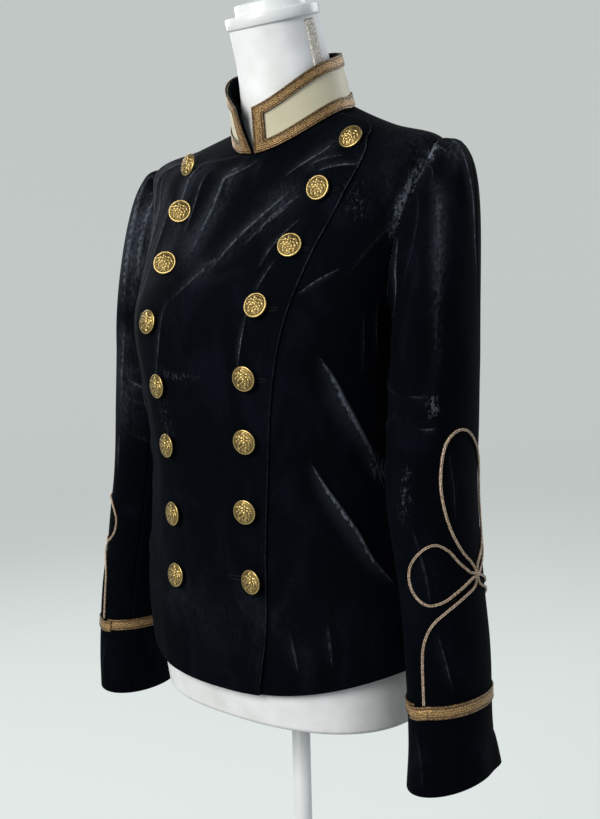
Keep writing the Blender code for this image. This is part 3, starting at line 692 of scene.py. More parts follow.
def add_stack(name: str, rings: Sequence[Array], material: Material) -> Object:
    """Make a closed body through rings of equal count, from the lowest up.

    Args:
        name: The object's name.
        rings: Rings of points, each the same way round, seen turning left from above.
        material: The finish.

    Returns:
        The object.
    """
    count = len(rings[0])
    points = np.vstack([*rings, rings[0].mean(0)[None], rings[-1].mean(0)[None]])
    here = np.arange(count)
    following = (here + 1) % count
    faces = []
    for level in range(len(rings) - 1):
        low, high = level * count, (level + 1) * count
        faces += np.stack([low + here, low + following, high + following, high + here], -1).tolist()
    foot, head, last = len(points) - 2, len(points) - 1, (len(rings) - 1) * count
    faces += [[int(following[k]), int(here[k]), foot] for k in range(count)]
    faces += [[last + int(here[k]), last + int(following[k]), head] for k in range(count)]
    made = add_mesh(name, points, faces, material)
    made.data.set_sharp_from_angle(angle=math.radians(SHARP_ANGLE))
    return made


def circle(radius: float, height: float, count: int) -> Array:
    """A level ring of points, seen turning left from above.

    Args:
        radius: The ring's radius.
        height: Its height.
        count: How many points it has.

    Returns:
        The points.
    """
    turn = 2 * np.pi * np.arange(count) / count
    return np.stack([radius * np.cos(turn), radius * np.sin(turn), np.full(count, height)], axis=-1)


def dress(piece: Object, nodes: Sequence[str] = ()) -> Object:
    """Hang a finished piece on the part's one body.

    Args:
        piece: The finished piece.
        nodes: The solids that the piece stands for.

    Returns:
        The piece.
    """
    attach(piece, "root")
    if nodes:
        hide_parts(*nodes)
    LOG.info("%s: %d faces, for %s", piece.name, len(piece.data.polygons), ", ".join(nodes) or "itself")
    return piece


def feed(node: Node, feeds: dict[Any, Any]) -> None:
    """Feed a node's inputs.

    Args:
        node: The node.
        feeds: For each input its value, or the socket that is linked to it.  An input is given by
            its number, or by its name with _ for a space.
    """
    for name, value in feeds.items():
        socket = node.inputs[name.replace("_", " ") if isinstance(name, str) else name]
        if isinstance(value, NodeSocket):
            node.id_data.links.new(value, socket)
        else:
            socket.default_value = value


def add_node(tree: NodeTree, kind: str, feeds: Optional[dict[Any, Any]] = None,
             out: Any = 0, **settings: Any) -> NodeSocket:
    """Add one shader node.

    Args:
        tree: The material's nodes.
        kind: The node's type without its common first part, such as "TexNoise".
        feeds: What its inputs take, as feed says.
        out: Number or name of the output that is wanted.
        settings: The node's own settings.

    Returns:
        That output.
    """
    node = tree.nodes.new("ShaderNode" + kind)
    for name, value in settings.items():
        setattr(node, name, value)
    feed(node, feeds or {})
    return node.outputs[out]


def work_out(tree: NodeTree, wires: dict[Any, Any], steps: Sequence[tuple]) -> None:
    """Add a chain of nodes that work out numbers.

    Args:
        tree: The material's nodes.
        wires: The outputs that the steps may read, by name.  Each step adds its own.
        steps: Each step's name, its operation, and what it reads, as values or names.  SMOOTHSTEP
            reads its first on an S curve between the other two.
    """
    for name, operation, *reads in steps:
        ranged = operation == "SMOOTHSTEP"
        feeds = {number: wires.get(read, read) for number, read in enumerate(reads)}
        wires[name] = add_node(tree, "MapRange" if ranged else "Math", feeds,
                               **{"interpolation_type" if ranged else "operation": operation})


def start_material(name: str) -> tuple[Material, NodeTree, Node, NodeSocket]:
    """Start a new material.

    Args:
        name: The finish's name.

    Returns:
        The material, its nodes, its Principled shader and the place that its patterns read.
    """
    material = bpy.data.materials.new(name)
    material.use_nodes = True
    tree = material.node_tree
    return material, tree, tree.nodes["Principled BSDF"], add_node(tree, "TexCoord", out="Object")


# How a Mix node mixes two colours, its inputs 6 and 7, by its input 0
BLEND = {"out": 2, "data_type": "RGBA"}


# How much highlight is painted into the velvet's colour where its pile lies: each step's name, its
# operation and what it reads
PILE_STEPS = (
    # Painted highlight on the crest of a crease: bright, with an edge that the crushed pile breaks up
    ("uneven", "SUBTRACT", "crush", 0.5),
    ("ragged", "MULTIPLY_ADD", "uneven", 2.6, "offset"),
    ("aside", "ABSOLUTE", "ragged"),
    ("crest", "SMOOTHSTEP", "aside", 1.15, 0.25),
    ("gaps", "SMOOTHSTEP", "crush", 0.36, 0.62),
    ("broken", "MULTIPLY_ADD", "gaps", 0.85, 0.15),
    ("core", "MULTIPLY", "crest", "broken"),
    # Painted light on the slope that leans to the light: a dim band beside the crest
    ("facing", "SMOOTHSTEP", "offset", 1.2, -0.6),
    ("dim", "MULTIPLY_ADD", "crush", 0.16, 0.03),
    ("slope", "MULTIPLY", "facing", "dim"),
    ("both", "ADD", "slope", "core"),
    ("glow", "MULTIPLY", "shine", "both"),
    # Crushed areas: fine specks of painted highlight, denser where more of the pile lies
    ("some", "MULTIPLY", "patch", 0.26),
    ("more", "MULTIPLY_ADD", "crush", 0.58, "some"),
    ("most", "MULTIPLY_ADD", "nap", 0.42, "more"),
    ("specks", "SMOOTHSTEP", "most", 0.56, 0.68),
    ("area", "SMOOTHSTEP", "patch", 0.0, 0.4),
    ("dimmed", "MULTIPLY", "area", 0.58),
    ("crushed", "MULTIPLY", "specks", "dimmed"),
    # Painted glints: single tips of pile that catch the light, strewn in drifts
    ("tips", "SMOOTHSTEP", "nap", 0.72, 0.78),
    ("strewn", "SMOOTHSTEP", "drift", 0.45, 0.62),
    ("lint", "MULTIPLY", "tips", "strewn"),
    # Painted sheen where the pile leans to the light over a wide area, in clouds
    ("clouds", "SMOOTHSTEP", "drift", 0.25, 0.75),
    ("grain", "SMOOTHSTEP", "crush", 0.15, 0.85),
    ("mottle", "MULTIPLY", "clouds", "grain"),
    ("leaning", "MULTIPLY", "haze", "mottle"),
    # How much painted highlight there is in all, and how far the standing pile drifts from black in random
    # drifts
    ("brighter", "MAXIMUM", "glow", "crushed"),
    ("sum", "ADD", "brighter", "leaning"),
    ("laid", "MULTIPLY_ADD", "lint", 0.1, "sum"),
    ("spread", "SMOOTHSTEP", "drift", 0.46, 0.74),
    ("tone", "MULTIPLY_ADD", "crush", 0.8, 0.3),
    ("drifted", "MULTIPLY", "spread", "tone"),
    # The relief of the pile
    ("tufts", "MULTIPLY", "crush", 0.7),
    ("relief", "MULTIPLY_ADD", "nap", 0.25, "tufts"),
)


@dataclass(frozen=True)
class CrushedVelvet:
    """Panne velvet: a silk pile pressed flat in places.

    Where the pile stands it swallows light and looks black.  Where it lies, on the crests of creases,
    on the slopes beside them that face the light and over crushed areas, a grey-blue highlight is
    painted into the colour, in chalky streaks with broken edges, with painted glints of single tips and
    painted sheen over wide areas.  At a slant the pile's tips catch light as a soft sheen.
    The crushed tufts are 3 mm and the drifts of pile 42 mm.  A tuft's own tip, 0.3 mm, is too fine
    to show, so the nap is drawn at 1 mm.
    """

    name: str = "crushed_velvet_black"
    standing: str = "020408"
    drifting: str = "080C14"
    painted_highlight: str = "6E7683"
    crush_mm: float = 3.0
    drift_mm: float = 42.0
    nap_mm: float = 1.0
    stretch: tuple[float, float, float] = (1.0, 1.0, 0.55)
    sheen: float = 0.01
    sheen_tint: str = "8FA0BC"

    def build(self) -> Material:
        """Make the material.

        Returns:
            The material.
        """
        material, tree, shader, place = start_material(self.name)
        hung = add_node(tree, "VectorMath", {0: place, 1: self.stretch}, operation="MULTIPLY")
        wires = {key: add_node(tree, "Attribute", out="Fac", attribute_name=f"pile_{key}")
                 for key in ("offset", "shine", "patch", "haze")}
        wires["crush"] = add_node(tree, "TexNoise", {
            "Vector": hung, "Scale": 1000 / self.crush_mm, "Detail": 3.0, "Roughness": 0.65})
        wires["drift"] = add_node(tree, "TexNoise", {
            "Vector": hung, "Scale": 1000 / self.drift_mm, "Detail": 3.0, "Distortion": 0.9})
        wires["nap"] = add_node(tree, "TexNoise", {
            "Vector": place, "Scale": 1000 / self.nap_mm, "Detail": 1.0})
        work_out(tree, wires, PILE_STEPS)
        ground = {0: wires["drifted"], 6: linear(self.standing), 7: linear(self.drifting)}
        ground = add_node(tree, "Mix", ground, **BLEND)
        # Painted highlight: the grey-blue of laid pile is mixed in as far as the pile steps put light
        colour = add_node(tree, "Mix", {0: wires["laid"], 6: ground, 7: linear(self.painted_highlight)}, **BLEND)
        bump = add_node(tree, "Bump", {"Height": wires["relief"], "Strength": 0.5, "Distance": 0.0012})
        feed(shader, {"Base_Color": colour, "Normal": bump, "Roughness": 0.85, "IOR": 1.15,
                      "Specular_IOR_Level": 0.2, "Sheen_Weight": self.sheen, "Sheen_Roughness": 0.4,
                      "Sheen_Tint": linear(self.sheen_tint)})
        return material


@dataclass(frozen=True)
class WovenMetalBraid:
    """Flat braid woven of metal thread round a cotton core.

    Rows of crossed thread run along it over a duller brown ground.  Their glints are painted into the
    colour as specks of the thread's colour on what is raised, more along the middle of a flat braid.
    Its thread, 0.3 mm, is too fine to show, so the crossings are drawn at pitch_mm and the specks, of
    wear and painted glint, at a size of their own.
    """

    name: str
    thread: str
    ground: str
    pitch_mm: float
    slant: float
    rows: float
    middle_gain: float
    low: float
    high: float
    roughness: float = 0.42
    metallic: float = 0.45
    speck_mm: float = 1.25

    def build(self) -> Material:
        """Make the material.

        Returns:
            The material.
        """
        material, tree, shader, place = start_material(self.name)
        along = add_node(tree, "SeparateXYZ", {0: add_node(tree, "UVMap", uv_map="weave")})
        wires = {"along": along, "over": along.node.outputs["Y"]}
        wires["worn"] = add_node(tree, "TexNoise", {
            "Vector": place, "Scale": 1000 / self.speck_mm, "Detail": 3.0, "Roughness": 0.7})
        work_out(tree, wires, (
            ("beside", "SUBTRACT", "over", 0.5),
            ("aside", "ABSOLUTE", "beside"),
            # Crossings of the thread along the braid, slanted both ways from its middle
            ("slanted", "MULTIPLY", "aside", self.slant),
            ("turns", "MULTIPLY_ADD", "along", 1000 / self.pitch_mm, "slanted"),
            ("angle", "MULTIPLY", "turns", 2 * math.pi),
            ("wave", "SINE", "angle"),
            # Rows of thread side by side
            ("across", "MULTIPLY", "over", self.rows * math.pi),
            ("ripple", "SINE", "across"),
            ("row", "ABSOLUTE", "ripple"),
            ("lower", "MULTIPLY", "wave", 0.13),
            ("raised", "MULTIPLY_ADD", "row", 0.24, "lower"),
            # Painted glints: specks of the thread's colour, broken up by wear, on what is raised, more
            # along the middle
            ("middle", "SMOOTHSTEP", "aside", 0.3, 0.17),
            ("specks", "MULTIPLY_ADD", "worn", 2.1, "raised"),
            ("glints", "MULTIPLY_ADD", "middle", self.middle_gain, "specks"),
            ("share", "SMOOTHSTEP", "glints", self.low, self.high),
            ("relief", "ADD", "raised", "worn"),
        ))
        colour = {0: wires["share"], 6: linear(self.ground), 7: linear(self.thread)}
        colour = add_node(tree, "Mix", colour, **BLEND)
        bump = add_node(tree, "Bump", {"Height": wires["relief"], "Strength": 0.7, "Distance": 0.0006})
        feed(shader, {"Base_Color": colour, "Normal": bump, "Roughness": self.roughness,
                      "Metallic": self.metallic})
        return material


@dataclass(frozen=True)
class Satin:
    """Silk satin: long floats lie side by side, so it is smooth with a soft shine and a faint grain."""

    name: str = "satin_cream"
    lit: str = "D3CEB4"
    shaded: str = "BFBA9E"
    grain_mm: float = 0.8
    cloud_mm: float = 18.18
    drawn: tuple[float, float, float] = (0.25, 0.25, 1.0)

    def build(self) -> Material:
        """Make the material.

        Returns:
            The material.
        """
        material, tree, shader, place = start_material(self.name)
        cloud = add_node(tree, "TexNoise", {"Vector": place, "Scale": 1000 / self.cloud_mm, "Detail": 3.0})
        colour = add_node(tree, "Mix", {0: cloud, 6: linear(self.shaded), 7: linear(self.lit)}, **BLEND)
        drawn = add_node(tree, "VectorMath", {0: place, 1: self.drawn}, operation="MULTIPLY")
        grain = add_node(tree, "TexNoise", {"Vector": drawn, "Scale": 1000 / self.grain_mm, "Detail": 2.0})
        bump = add_node(tree, "Bump", {"Height": grain, "Strength": 0.15, "Distance": 0.0004})
        feed(shader, {"Base_Color": colour, "Normal": bump, "Roughness": 0.52, "Specular_IOR_Level": 0.4})
        return material


@dataclass(frozen=True)
class GiltBrass:
    """Stamped gilt brass: painted highlight on the raised work, painted brown shade in the hollows, specks
    of wear.
    """

    name: str = "gilt_brass"
    bright: str = "AF9863"
    shade_and_wear: str = "46381C"
    speck_mm: float = 1.1111

    def build(self) -> Material:
        """Make the material.

        Returns:
            The material.
        """
        material, tree, shader, place = start_material(self.name)
        polish = add_node(tree, "Attribute", out="Fac", attribute_name="polish")
        worn = add_node(tree, "TexNoise", {"Vector": place, "Scale": 1000 / self.speck_mm, "Detail": 4.0})
        # The buttons' own values paint a highlight on the raised work and shade in the hollows; the specks
        # of wear are mixed in
        mixed = add_node(tree, "Math", {0: worn, 1: 0.5, 2: polish}, operation="MULTIPLY_ADD")
        share = add_node(tree, "MapRange", {"Value": mixed, "From Min": 0.32, "From Max": 0.9})
        colour = add_node(tree, "Mix", {0: share, 6: linear(self.shade_and_wear), 7: linear(self.bright)}, **BLEND)
        rough = add_node(tree, "MapRange", {"Value": share, "To Min": 0.52, "To Max": 0.33})
        bump = add_node(tree, "Bump", {"Height": worn, "Strength": 0.25, "Distance": 0.0002})
        feed(shader, {"Base_Color": colour, "Normal": bump, "Roughness": rough, "Metallic": 1.0})
        return material


@dataclass(frozen=True)
class PaintedShell:
    """A plain matt face, such as paint on a hard shell, with faint clouding and a fine tooth."""

    name: str
    colour: str
    clouded: str
    roughness: float
    tooth: float
    cloud_mm: float = 33.33
    gloss: float = 0.5
    tooth_mm: float = 1.4286

    def build(self) -> Material:
        """Make the material.

        Returns:
            The material.
        """
        material, tree, shader, place = start_material(self.name)
        cloud = add_node(tree, "TexNoise", {"Vector": place, "Scale": 1000 / self.cloud_mm, "Detail": 4.0})
        share = add_node(tree, "MapRange", {"Value": cloud, "From Min": 0.35, "From Max": 0.62})
        colour = add_node(tree, "Mix", {0: share, 6: linear(self.clouded), 7: linear(self.colour)}, **BLEND)
        fine = add_node(tree, "TexNoise", {"Vector": place, "Scale": 1000 / self.tooth_mm, "Detail": 2.0})
        bump = add_node(tree, "Bump", {"Height": fine, "Strength": self.tooth, "Distance": 0.0004})
        feed(shader, {"Base_Color": colour, "Normal": bump, "Roughness": self.roughness,
                      "Specular_IOR_Level": self.gloss})
        return material


@dataclass(frozen=True)
class PlainStage:
    """Plain pale paper, matt, lit evenly enough that its far side stays pale."""

    name: str = "pale_paper"
    colour: str = "A6ACAA"
    lit: str = "DDE3E1"
    even_light: float = 0.56

    def build(self) -> Material:
        """Make the material.

        Returns:
            The material.
        """
        material, _, shader, _ = start_material(self.name)
        feed(shader, {"Base_Color": linear(self.colour), "Roughness": 0.95, "Specular_IOR_Level": 0.1,
                      "Emission_Color": linear(self.lit), "Emission_Strength": self.even_light})
        return material


@dataclass
class Finishes:
    """Every material of the model, made once."""

    velvet: Material = field(default_factory=CrushedVelvet().build)
    satin: Material = field(default_factory=Satin().build)
    # Flat braid of bronze-coloured metal thread: rows with glints painted in specks over a brown core
    braid: Material = field(default_factory=WovenMetalBraid(
        "woven_braid_bronze", "C09A64", "34220D", pitch_mm=1.7, slant=3.0, rows=5.0,
        middle_gain=0.26, low=0.98, high=1.98).build)
    # Soutache: two thin plies of metallised cotton, paler and less metallic than the braid
    soutache: Material = field(default_factory=WovenMetalBraid(
        "soutache_old_gold", "E4CFB8", "6A5440", pitch_mm=1.3, slant=2.0, rows=2.5,
        middle_gain=0.0, low=0.9, high=1.72, roughness=0.5, metallic=0.3).build)
    gilt: Material = field(default_factory=GiltBrass().build)
    # Moulded glass-fibre shell under matt white paint: soft shading and hardly a highlight
    shell: Material = field(default_factory=PaintedShell(
        "form_shell_white", "E9EDF0", "DBDEDE", roughness=0.62, tooth=0.35).build)
    # Steel and turned wood under white enamel: smooth, with a clear soft highlight
    enamel: Material = field(default_factory=PaintedShell(
        "enamel_white", "DCE1E3", "D6DBDD", roughness=0.3, tooth=0.04).build)
    # Cotton lace: matt, with its holes as darker flecks of 1.6 mm
    lace: Material = field(default_factory=PaintedShell(
        "cotton_lace_ecru", "F0ECE3", "A09A90", roughness=0.8, tooth=0.9, cloud_mm=1.6129).build)
    # Twisted silk, worked over the edges of the holes: matt black with hardly a shine
    thread: Material = field(default_factory=PaintedShell(
        "buttonhole_silk_black", "06070A", "020304", roughness=0.8, tooth=0.8, gloss=0.1).build)


@dataclass
class Torso:
    """The two fronts and the back."""

    body: BodySurface
    velvet: Material
    creases: tuple[Crease, ...]
    rows: Array = field(init=False)
    row_line: EdgedLine = field(init=False)
    deepest: float = 0.004
    deepest_at_shoulder: float = 0.0007
    deepest_in_lap: float = 0.0003

    def __post_init__(self) -> None:
        """Space the rows from hem to neck."""
        self.row_line = EdgedLine(NECK_RUN, CELL, (EDGE_ROLL, SEAM_ROLL))
        self.rows = self.row_line.offsets()

    def side_gap(self, opening: float) -> Array:
        """How far from the side line a panel stops at each row, in degrees.

        Args:
            opening: How far the armhole cuts into the panel, in degrees.

        Returns:
            One gap for each row.
        """
        gap = -np.degrees(SEAM_TUCK / BODY_RINGS.read("half_width", self.rows))
        part = np.clip((self.rows - ARMPIT_RUN) / (SHOULDER_RUN - ARMPIT_RUN), 0.0, 1.0)
        return gap + opening * np.sqrt(np.clip(1.0 - (2.0 * part - 1.0) ** 2, 0.0, 1.0))

    def pressed(self, run: Array, turn: Array, places: Array, left_panel: bool) -> Pile:
        """The creases of one panel, kept clear of what lies under it.

        Args:
            run: Runs of the grid.
            turn: Turns of the grid.
            places: Its points.
            left_panel: Whether the panel is the lower front, which the upper one covers in part.

        Returns:
            The pile.
        """
        pile = press_all(self.body, self.creases, places)
        lap = LAP_ROWS.read("lap_edge", run)
        if left_panel:
            return pile.masked(smooth_step(lap + 0.6, lap + 3.0, turn))
        at_shoulder = smooth_step(0.42, 0.49, run)
        floor = -(self.deepest + (self.deepest_at_shoulder - self.deepest) * at_shoulder)
        under = LAP_ROWS.read("under_edge", run)
        in_lap = smooth_step(under - 6.0, under, turn) * (turn < 100.0)
        floor = floor + (-self.deepest_in_lap - floor) * in_lap
        pile.height = np.maximum(pile.height, floor)
        return pile

    def panel(self, name: str, node: str, first: Array, last: Array, width: float,
              roll: tuple[float, float], lapped: bool = False,
              left_panel: bool = False) -> Object:
        """Make one panel between two edges.

        Args:
            name: The piece's name.
            node: The solid that it stands for.
            first: Turn of its first edge, row by row.
            last: Turn of its last edge.
            width: Its mean width, which spaces the columns.
            roll: How its two edges round over.
            lapped: Whether it is lifted over the other front.
            left_panel: Whether it is the lower front.

        Returns:
            The piece.
        """
        across = EdgedLine(width, CELL, roll)
        turn = first[:, None] + (last - first)[:, None] * across.shares()[None]
        run = np.broadcast_to(self.rows[:, None], turn.shape)
        places, outward = self.body.point(run, turn), self.body.normal(run, turn)
        pile = self.pressed(run, turn, places, left_panel)
        height = pile.height
        if lapped:
            height = height + self.body.lap_rise(run, turn)
            self.light_edge(pile, turn)
        sunk = 1.0 - (1.0 - self.row_line.lowering()[:, None]) * (1.0 - across.lowering()[None])
        outer = places + outward * (height - sunk * WALL / 2)[..., None]
        inner = places + outward * (height - WALL + sunk * WALL / 2)[..., None]
        piece = add_shell(name, outer, inner, self.velvet, pile=pile)
        return dress(piece, [node])

    def light_edge(self, pile: Pile, turn: Array) -> None:
        """Paint a thin highlight along the turned edge of the upper front.

        Args:
            pile: The pile of the upper front, which is changed.
            turn: Turns of its grid.
        """
        width = BODY_RINGS.read("half_width", self.rows)[:, None]
        inside = np.radians(turn[:, -1:] - turn) * width * 0.8 - 0.0007
        strength = 0.07 + 0.13 * smooth_step(0.3, 0.42, self.rows)[:, None]
        near = np.abs(inside) < 0.003
        pile.offset[near] = (inside / 0.0005)[near]
        pile.shine[near] = np.broadcast_to(strength, turn.shape)[near]

    def build(self) -> None:
        """Make the three panels."""
        front, back = self.side_gap(ARMHOLE_FRONT), self.side_gap(ARMHOLE_BACK)
        under, lap = LAP_ROWS.read("under_edge", self.rows), LAP_ROWS.read("lap_edge", self.rows)
        upper = self.panel("velvet_front_right", "front_right", front - 90.0, lap, 0.33,
                           (SEAM_ROLL, EDGE_ROLL), lapped=True)
        lower = self.panel("velvet_front_left", "front_left", under, 90.0 - front, 0.3,
                           (EDGE_ROLL, SEAM_ROLL), left_panel=True)
        behind = self.panel("velvet_back", "back", 90.0 + back, 270.0 - back, 0.42,
                            (SEAM_ROLL, SEAM_ROLL))


@dataclass
class Sleeve:
    """A two-piece sleeve with its gold band and looped knot."""

    surface: SleeveSurface
    finishes: Finishes
    creases: tuple[Crease, ...]
    knot_middle: float
    # The cap's length, a piece's width and a mean radius space the rows and columns
    cap_length: float = 0.15
    width: float = 0.13
    mean_radius: float = 0.04
    band_drop: float = 0.302
    band_width: float = 0.0115
    band_wall: float = 0.0012
    band_start: float = 96.0
    band_overlap: float = 11.0
    band_gap: float = 0.0005
    # Over these degrees from its start the upper end rises and drops
    lap_lift: float = 0.0015
    lap_drop: float = 0.0016
    lap_from: float = 335.0
    lap_to: float = 358.0
    cord_width: float = 0.0025
    cord_height: float = 0.0017
    cord_gap: float = 0.0002
    cord_samples: int = 14
    # How far a cord's rise over a crossing reaches, in points of its path
    cross_reach: float = 0.55

    @property
    def side(self) -> str:
        """The wearer's side in words."""
        return "left" if self.surface.hand > 0 else "right"

    def face(self, drop: Any, angle: Any, rise: Any = 0.0) -> tuple[Array, Array, Pile]:
        """Places on the creased sleeve.

        Args:
            drop: First coordinate of each place.
            angle: Second coordinate, in degrees.
            rise: Height over the cloth.

        Returns:
            Points, outward directions and the pile.
        """
        drop, angle = np.broadcast_arrays(np.asarray(drop, float), np.asarray(angle, float))
        places, outward = self.surface.point(drop, angle), self.surface.normal(drop, angle, 3.0)
        pile = press_all(self.surface, self.creases, places)
        return places + outward * (pile.height + rise)[..., None], outward, pile

    def rows(self) -> tuple[Array, Array]:
        """Rows from the armhole to the hem.

        Returns:
            Where each row lies, and how far it has sunk where the edge rounds over.
        """
        cap = EdgedLine(self.cap_length, CELL, (SEAM_ROLL, CELL))
        tube = EdgedLine(SLEEVE_LENGTH, CELL, (CELL, EDGE_ROLL))
        # The cap ends and the tube starts without the close rows of a free edge
        down = np.concatenate([cap.shares()[:-4] - 1.0, tube.offsets()[3:]])
        return down, np.concatenate([cap.lowering()[:-4], tube.lowering()[3:]])

    def piece(self, name: str, upper: bool) -> Object:
        """Make the upper or the under sleeve.

        Args:
            name: The piece's name.
            upper: Whether it is the upper one.

        Returns:
            The piece.
        """
        down, row_sunk = self.rows()
        gap = -math.degrees(SEAM_TUCK / 2 / self.mean_radius)
        back = BACK_SEAM_ROWS.read("angle", down)
        front = np.full_like(back, FRONT_SEAM)
        first, last = (back, front) if upper else (front, 360.0 + back)
        across = EdgedLine(self.width, CELL, (SEAM_ROLL, SEAM_ROLL))
        angle = (first + gap)[:, None] + (last - first - 2 * gap)[:, None] * across.shares()[None]
        drop = np.broadcast_to(down[:, None], angle.shape)
        outer, outward, pile = self.face(drop, angle)
        sunk = (1.0 - (1.0 - row_sunk[:, None]) * (1.0 - across.lowering()[None]))[..., None] * WALL / 2
        made = add_shell(name, outer - outward * sunk, outer - outward * (WALL - sunk),
                         self.finishes.velvet, hand=-self.surface.hand, pile=pile)
        return dress(made, [name.replace("velvet_", "")])

    def band(self) -> Object:
        """Make the gold band, whose ends lap over each other in front.

        Returns:
            The piece.
        """
        along = np.arange(self.band_start, self.band_start + 360.0 + self.band_overlap, 1.5)
        lapping = smooth_step(self.band_start + self.lap_from, self.band_start + self.lap_to, along)
        # A rolled cord along each edge and a low rib between them
        across = np.array([0.0, 0.02, 0.06, 0.11, 0.15, 0.19, 0.22, 0.27, 0.34, 0.42, 0.5,
                           0.58, 0.66, 0.73, 0.78, 0.81, 0.85, 0.89, 0.94, 0.98, 1.0])
        rolled = np.sin(np.pi * np.clip(np.minimum(across, 1 - across) / 0.2, 0, 1))
        plain = 0.55 + 0.25 * np.cos(np.pi * (across - 0.5) / 0.3)
        rib = np.where((across < 0.2) | (across > 0.8), rolled, plain)
        rib[[0, -1]] = 0.0
        drop, angle = np.meshgrid(self.band_drop + self.band_width * across, along, indexing="ij")
        drop = drop + self.lap_drop * lapping[None]
        thick = self.band_wall * (0.35 + 0.65 * rib[:, None]) * np.ones_like(drop)
        thick[[0, -1]] = 0.0
        thick[:, [0, -1]] = 0.0
        base = (self.band_gap + self.lap_lift * lapping)[None]
        outer, _, _ = self.face(drop, angle, base + thick)
        inner, _, _ = self.face(drop, angle, base * np.ones_like(drop))
        length = np.concatenate([[0.0], np.cumsum(np.linalg.norm(np.diff(outer[10], axis=0), axis=-1))])
        made = add_shell(f"gold_band_{self.side}", outer, inner, self.finishes.braid,
                         hand=-self.surface.hand, weave=(length, across))
        return dress(made, [f"sleeve_band_{self.side}"])

    def cord(self, name: str, path: Sequence[tuple[float, float]], lifts: Sequence[tuple[float, float]],
             closed: bool, nodes: Sequence[str]) -> Object:
        """Lay one soutache cord on the sleeve.

        Args:
            name: The piece's name.
            path: Drops, and angles from the knot's own middle line.
            lifts: For each crossing, the path's point number and the height there.
            closed: Whether the cord runs into itself.
            nodes: The solids that it stands for.

        Returns:
            The piece.
        """
        points = np.array(path)
        line = smooth_line(np.vstack([points, points[:1]]) if closed else points, self.cord_samples)
        number = np.arange(len(line)) / self.cord_samples
        rise = np.zeros(len(line))
        for at, height in lifts:
            rise = np.maximum(rise, height * np.exp(-(((number - at) / self.cross_reach) ** 2)))
        if closed:
            line, rise = line[:-1], rise[:-1]
        angle = self.knot_middle + line[:, 1]
        middle, outward, _ = self.face(line[:, 0], angle, rise + self.cord_gap)
        ahead = np.roll(middle, -1, 0) - np.roll(middle, 1, 0)
        if not closed:
            ahead[[0, -1]] = middle[[1, -1]] - middle[[0, -2]]
        aside = unit(np.cross(outward, ahead))
        # Two round plies side by side on a flat foot, in shares of the cord's width and height
        profile = []
        for centre, start in ((-0.25, 180.0), (0.25, 150.0)):
            for turn in np.radians(np.arange(start, -1.0, -30.0)):
                profile.append((centre + 0.25 * math.cos(turn), math.sin(turn)))
        profile += [(0.25, -0.12), (-0.25, -0.12)]
        rings = np.stack([middle + aside * (a * self.cord_width)
                          + outward * (self.cord_gap + b * self.cord_height) for a, b in profile])
        length = np.concatenate([[0.0], np.cumsum(np.linalg.norm(np.diff(middle, axis=0), axis=-1))])
        return dress(add_tube(name, rings, length, closed, self.finishes.soutache), nodes)

    def build(self) -> None:
        """Make the sleeve and all that is sewn on it."""
        upper = self.piece(f"velvet_sleeve_upper_{self.side}", True)
        under = self.piece(f"velvet_sleeve_under_{self.side}", False)
        band = self.band()
        front_stem = list(reversed(KNOT_STEM))
        back_stem = [(drop, -aside) for drop, aside in KNOT_STEM]
        crossing, middle = [(0.1975, 0.0)], [(0.197, 0.0)]
        long_cord = front_stem + crossing + list(reversed(KNOT_TOP)) + crossing + back_stem
        second = len(front_stem) + 1 + len(KNOT_TOP)
        looped = list(KNOT_SIDE) + middle + [(drop, -aside) for drop, aside in KNOT_SIDE] + middle
        long_piece = self.cord(f"soutache_long_{self.side}", long_cord, [(second, 0.0009)], False,
                               [f"knot_{tag}_{self.side}" for tag in ("top", "stem_front", "stem_back")])
        loop_piece = self.cord(f"soutache_loops_{self.side}", looped,
                               [(len(KNOT_SIDE), 0.0014), (len(looped) - 1, 0.002)], True,
                               [f"knot_{tag}_{self.side}" for tag in ("front", "back")])


# The knot's loops and stems: metres down the sleeve, and angle from the knot's middle line
KNOT_TOP = (
    (0.1885, 5), (0.174, 21), (0.154, 33.5), (0.128, 41), (0.104, 43), (0.079, 39),
    (0.0675, 28), (0.0655, 14), (0.072, 0), (0.088, -18), (0.11, -32), (0.135, -39),
    (0.158, -37), (0.176, -22), (0.1885, -5),
)
KNOT_SIDE = (
    (0.1935, 12), (0.183, 27), (0.171, 40), (0.165, 56), (0.171, 76), (0.186, 94),
    (0.203, 94), (0.215, 76), (0.214, 54), (0.207, 33), (0.2, 12),
)
KNOT_STEM = (
    (0.2065, 6), (0.213, 25), (0.2225, 50), (0.233, 70), (0.248, 83), (0.265, 88),
    (0.3016, 89.5),
)


def add_tube(name: str, rings: Array, length: Array, closed: bool,
             material: Material) -> Object:
    """Make a cord from the lines along its corners.

    Args:
        name: The object's name.
        rings: The lines' points.
        length: Lengths along the cord.
        closed: Whether its end joins its start.
        material: The finish.

    Returns:
        The object.
    """
    corners, places = rings.shape[:2]
    number = np.arange(corners * places).reshape(corners, places)
    along = np.arange(places if closed else places - 1)
    following = (along + 1) % places
    lengths = np.append(length, length[-1] + (length[-1] - length[-2]))
    faces, uv = [], []
    for k in range(corners):
        other = (k + 1) % corners
        faces.append(np.stack([number[k][along], number[k][following], number[other][following],
                               number[other][along]], -1))
        ends = ((0, k), (1, k), (1, k + 1), (0, k + 1))
        uv.append(np.stack([np.stack([lengths[along + a], np.full(len(along), b / corners)], -1)
                            for a, b in ends], 1))
    caps = [] if closed else [number[:, 0].tolist()[::-1], number[:, -1].tolist()]
    flat = np.vstack([np.concatenate(uv).reshape(-1, 2), np.zeros((corners * len(caps), 2))])
    return add_mesh(name, rings.reshape(-1, 3), np.concatenate(faces).tolist() + caps, material, uv=flat)


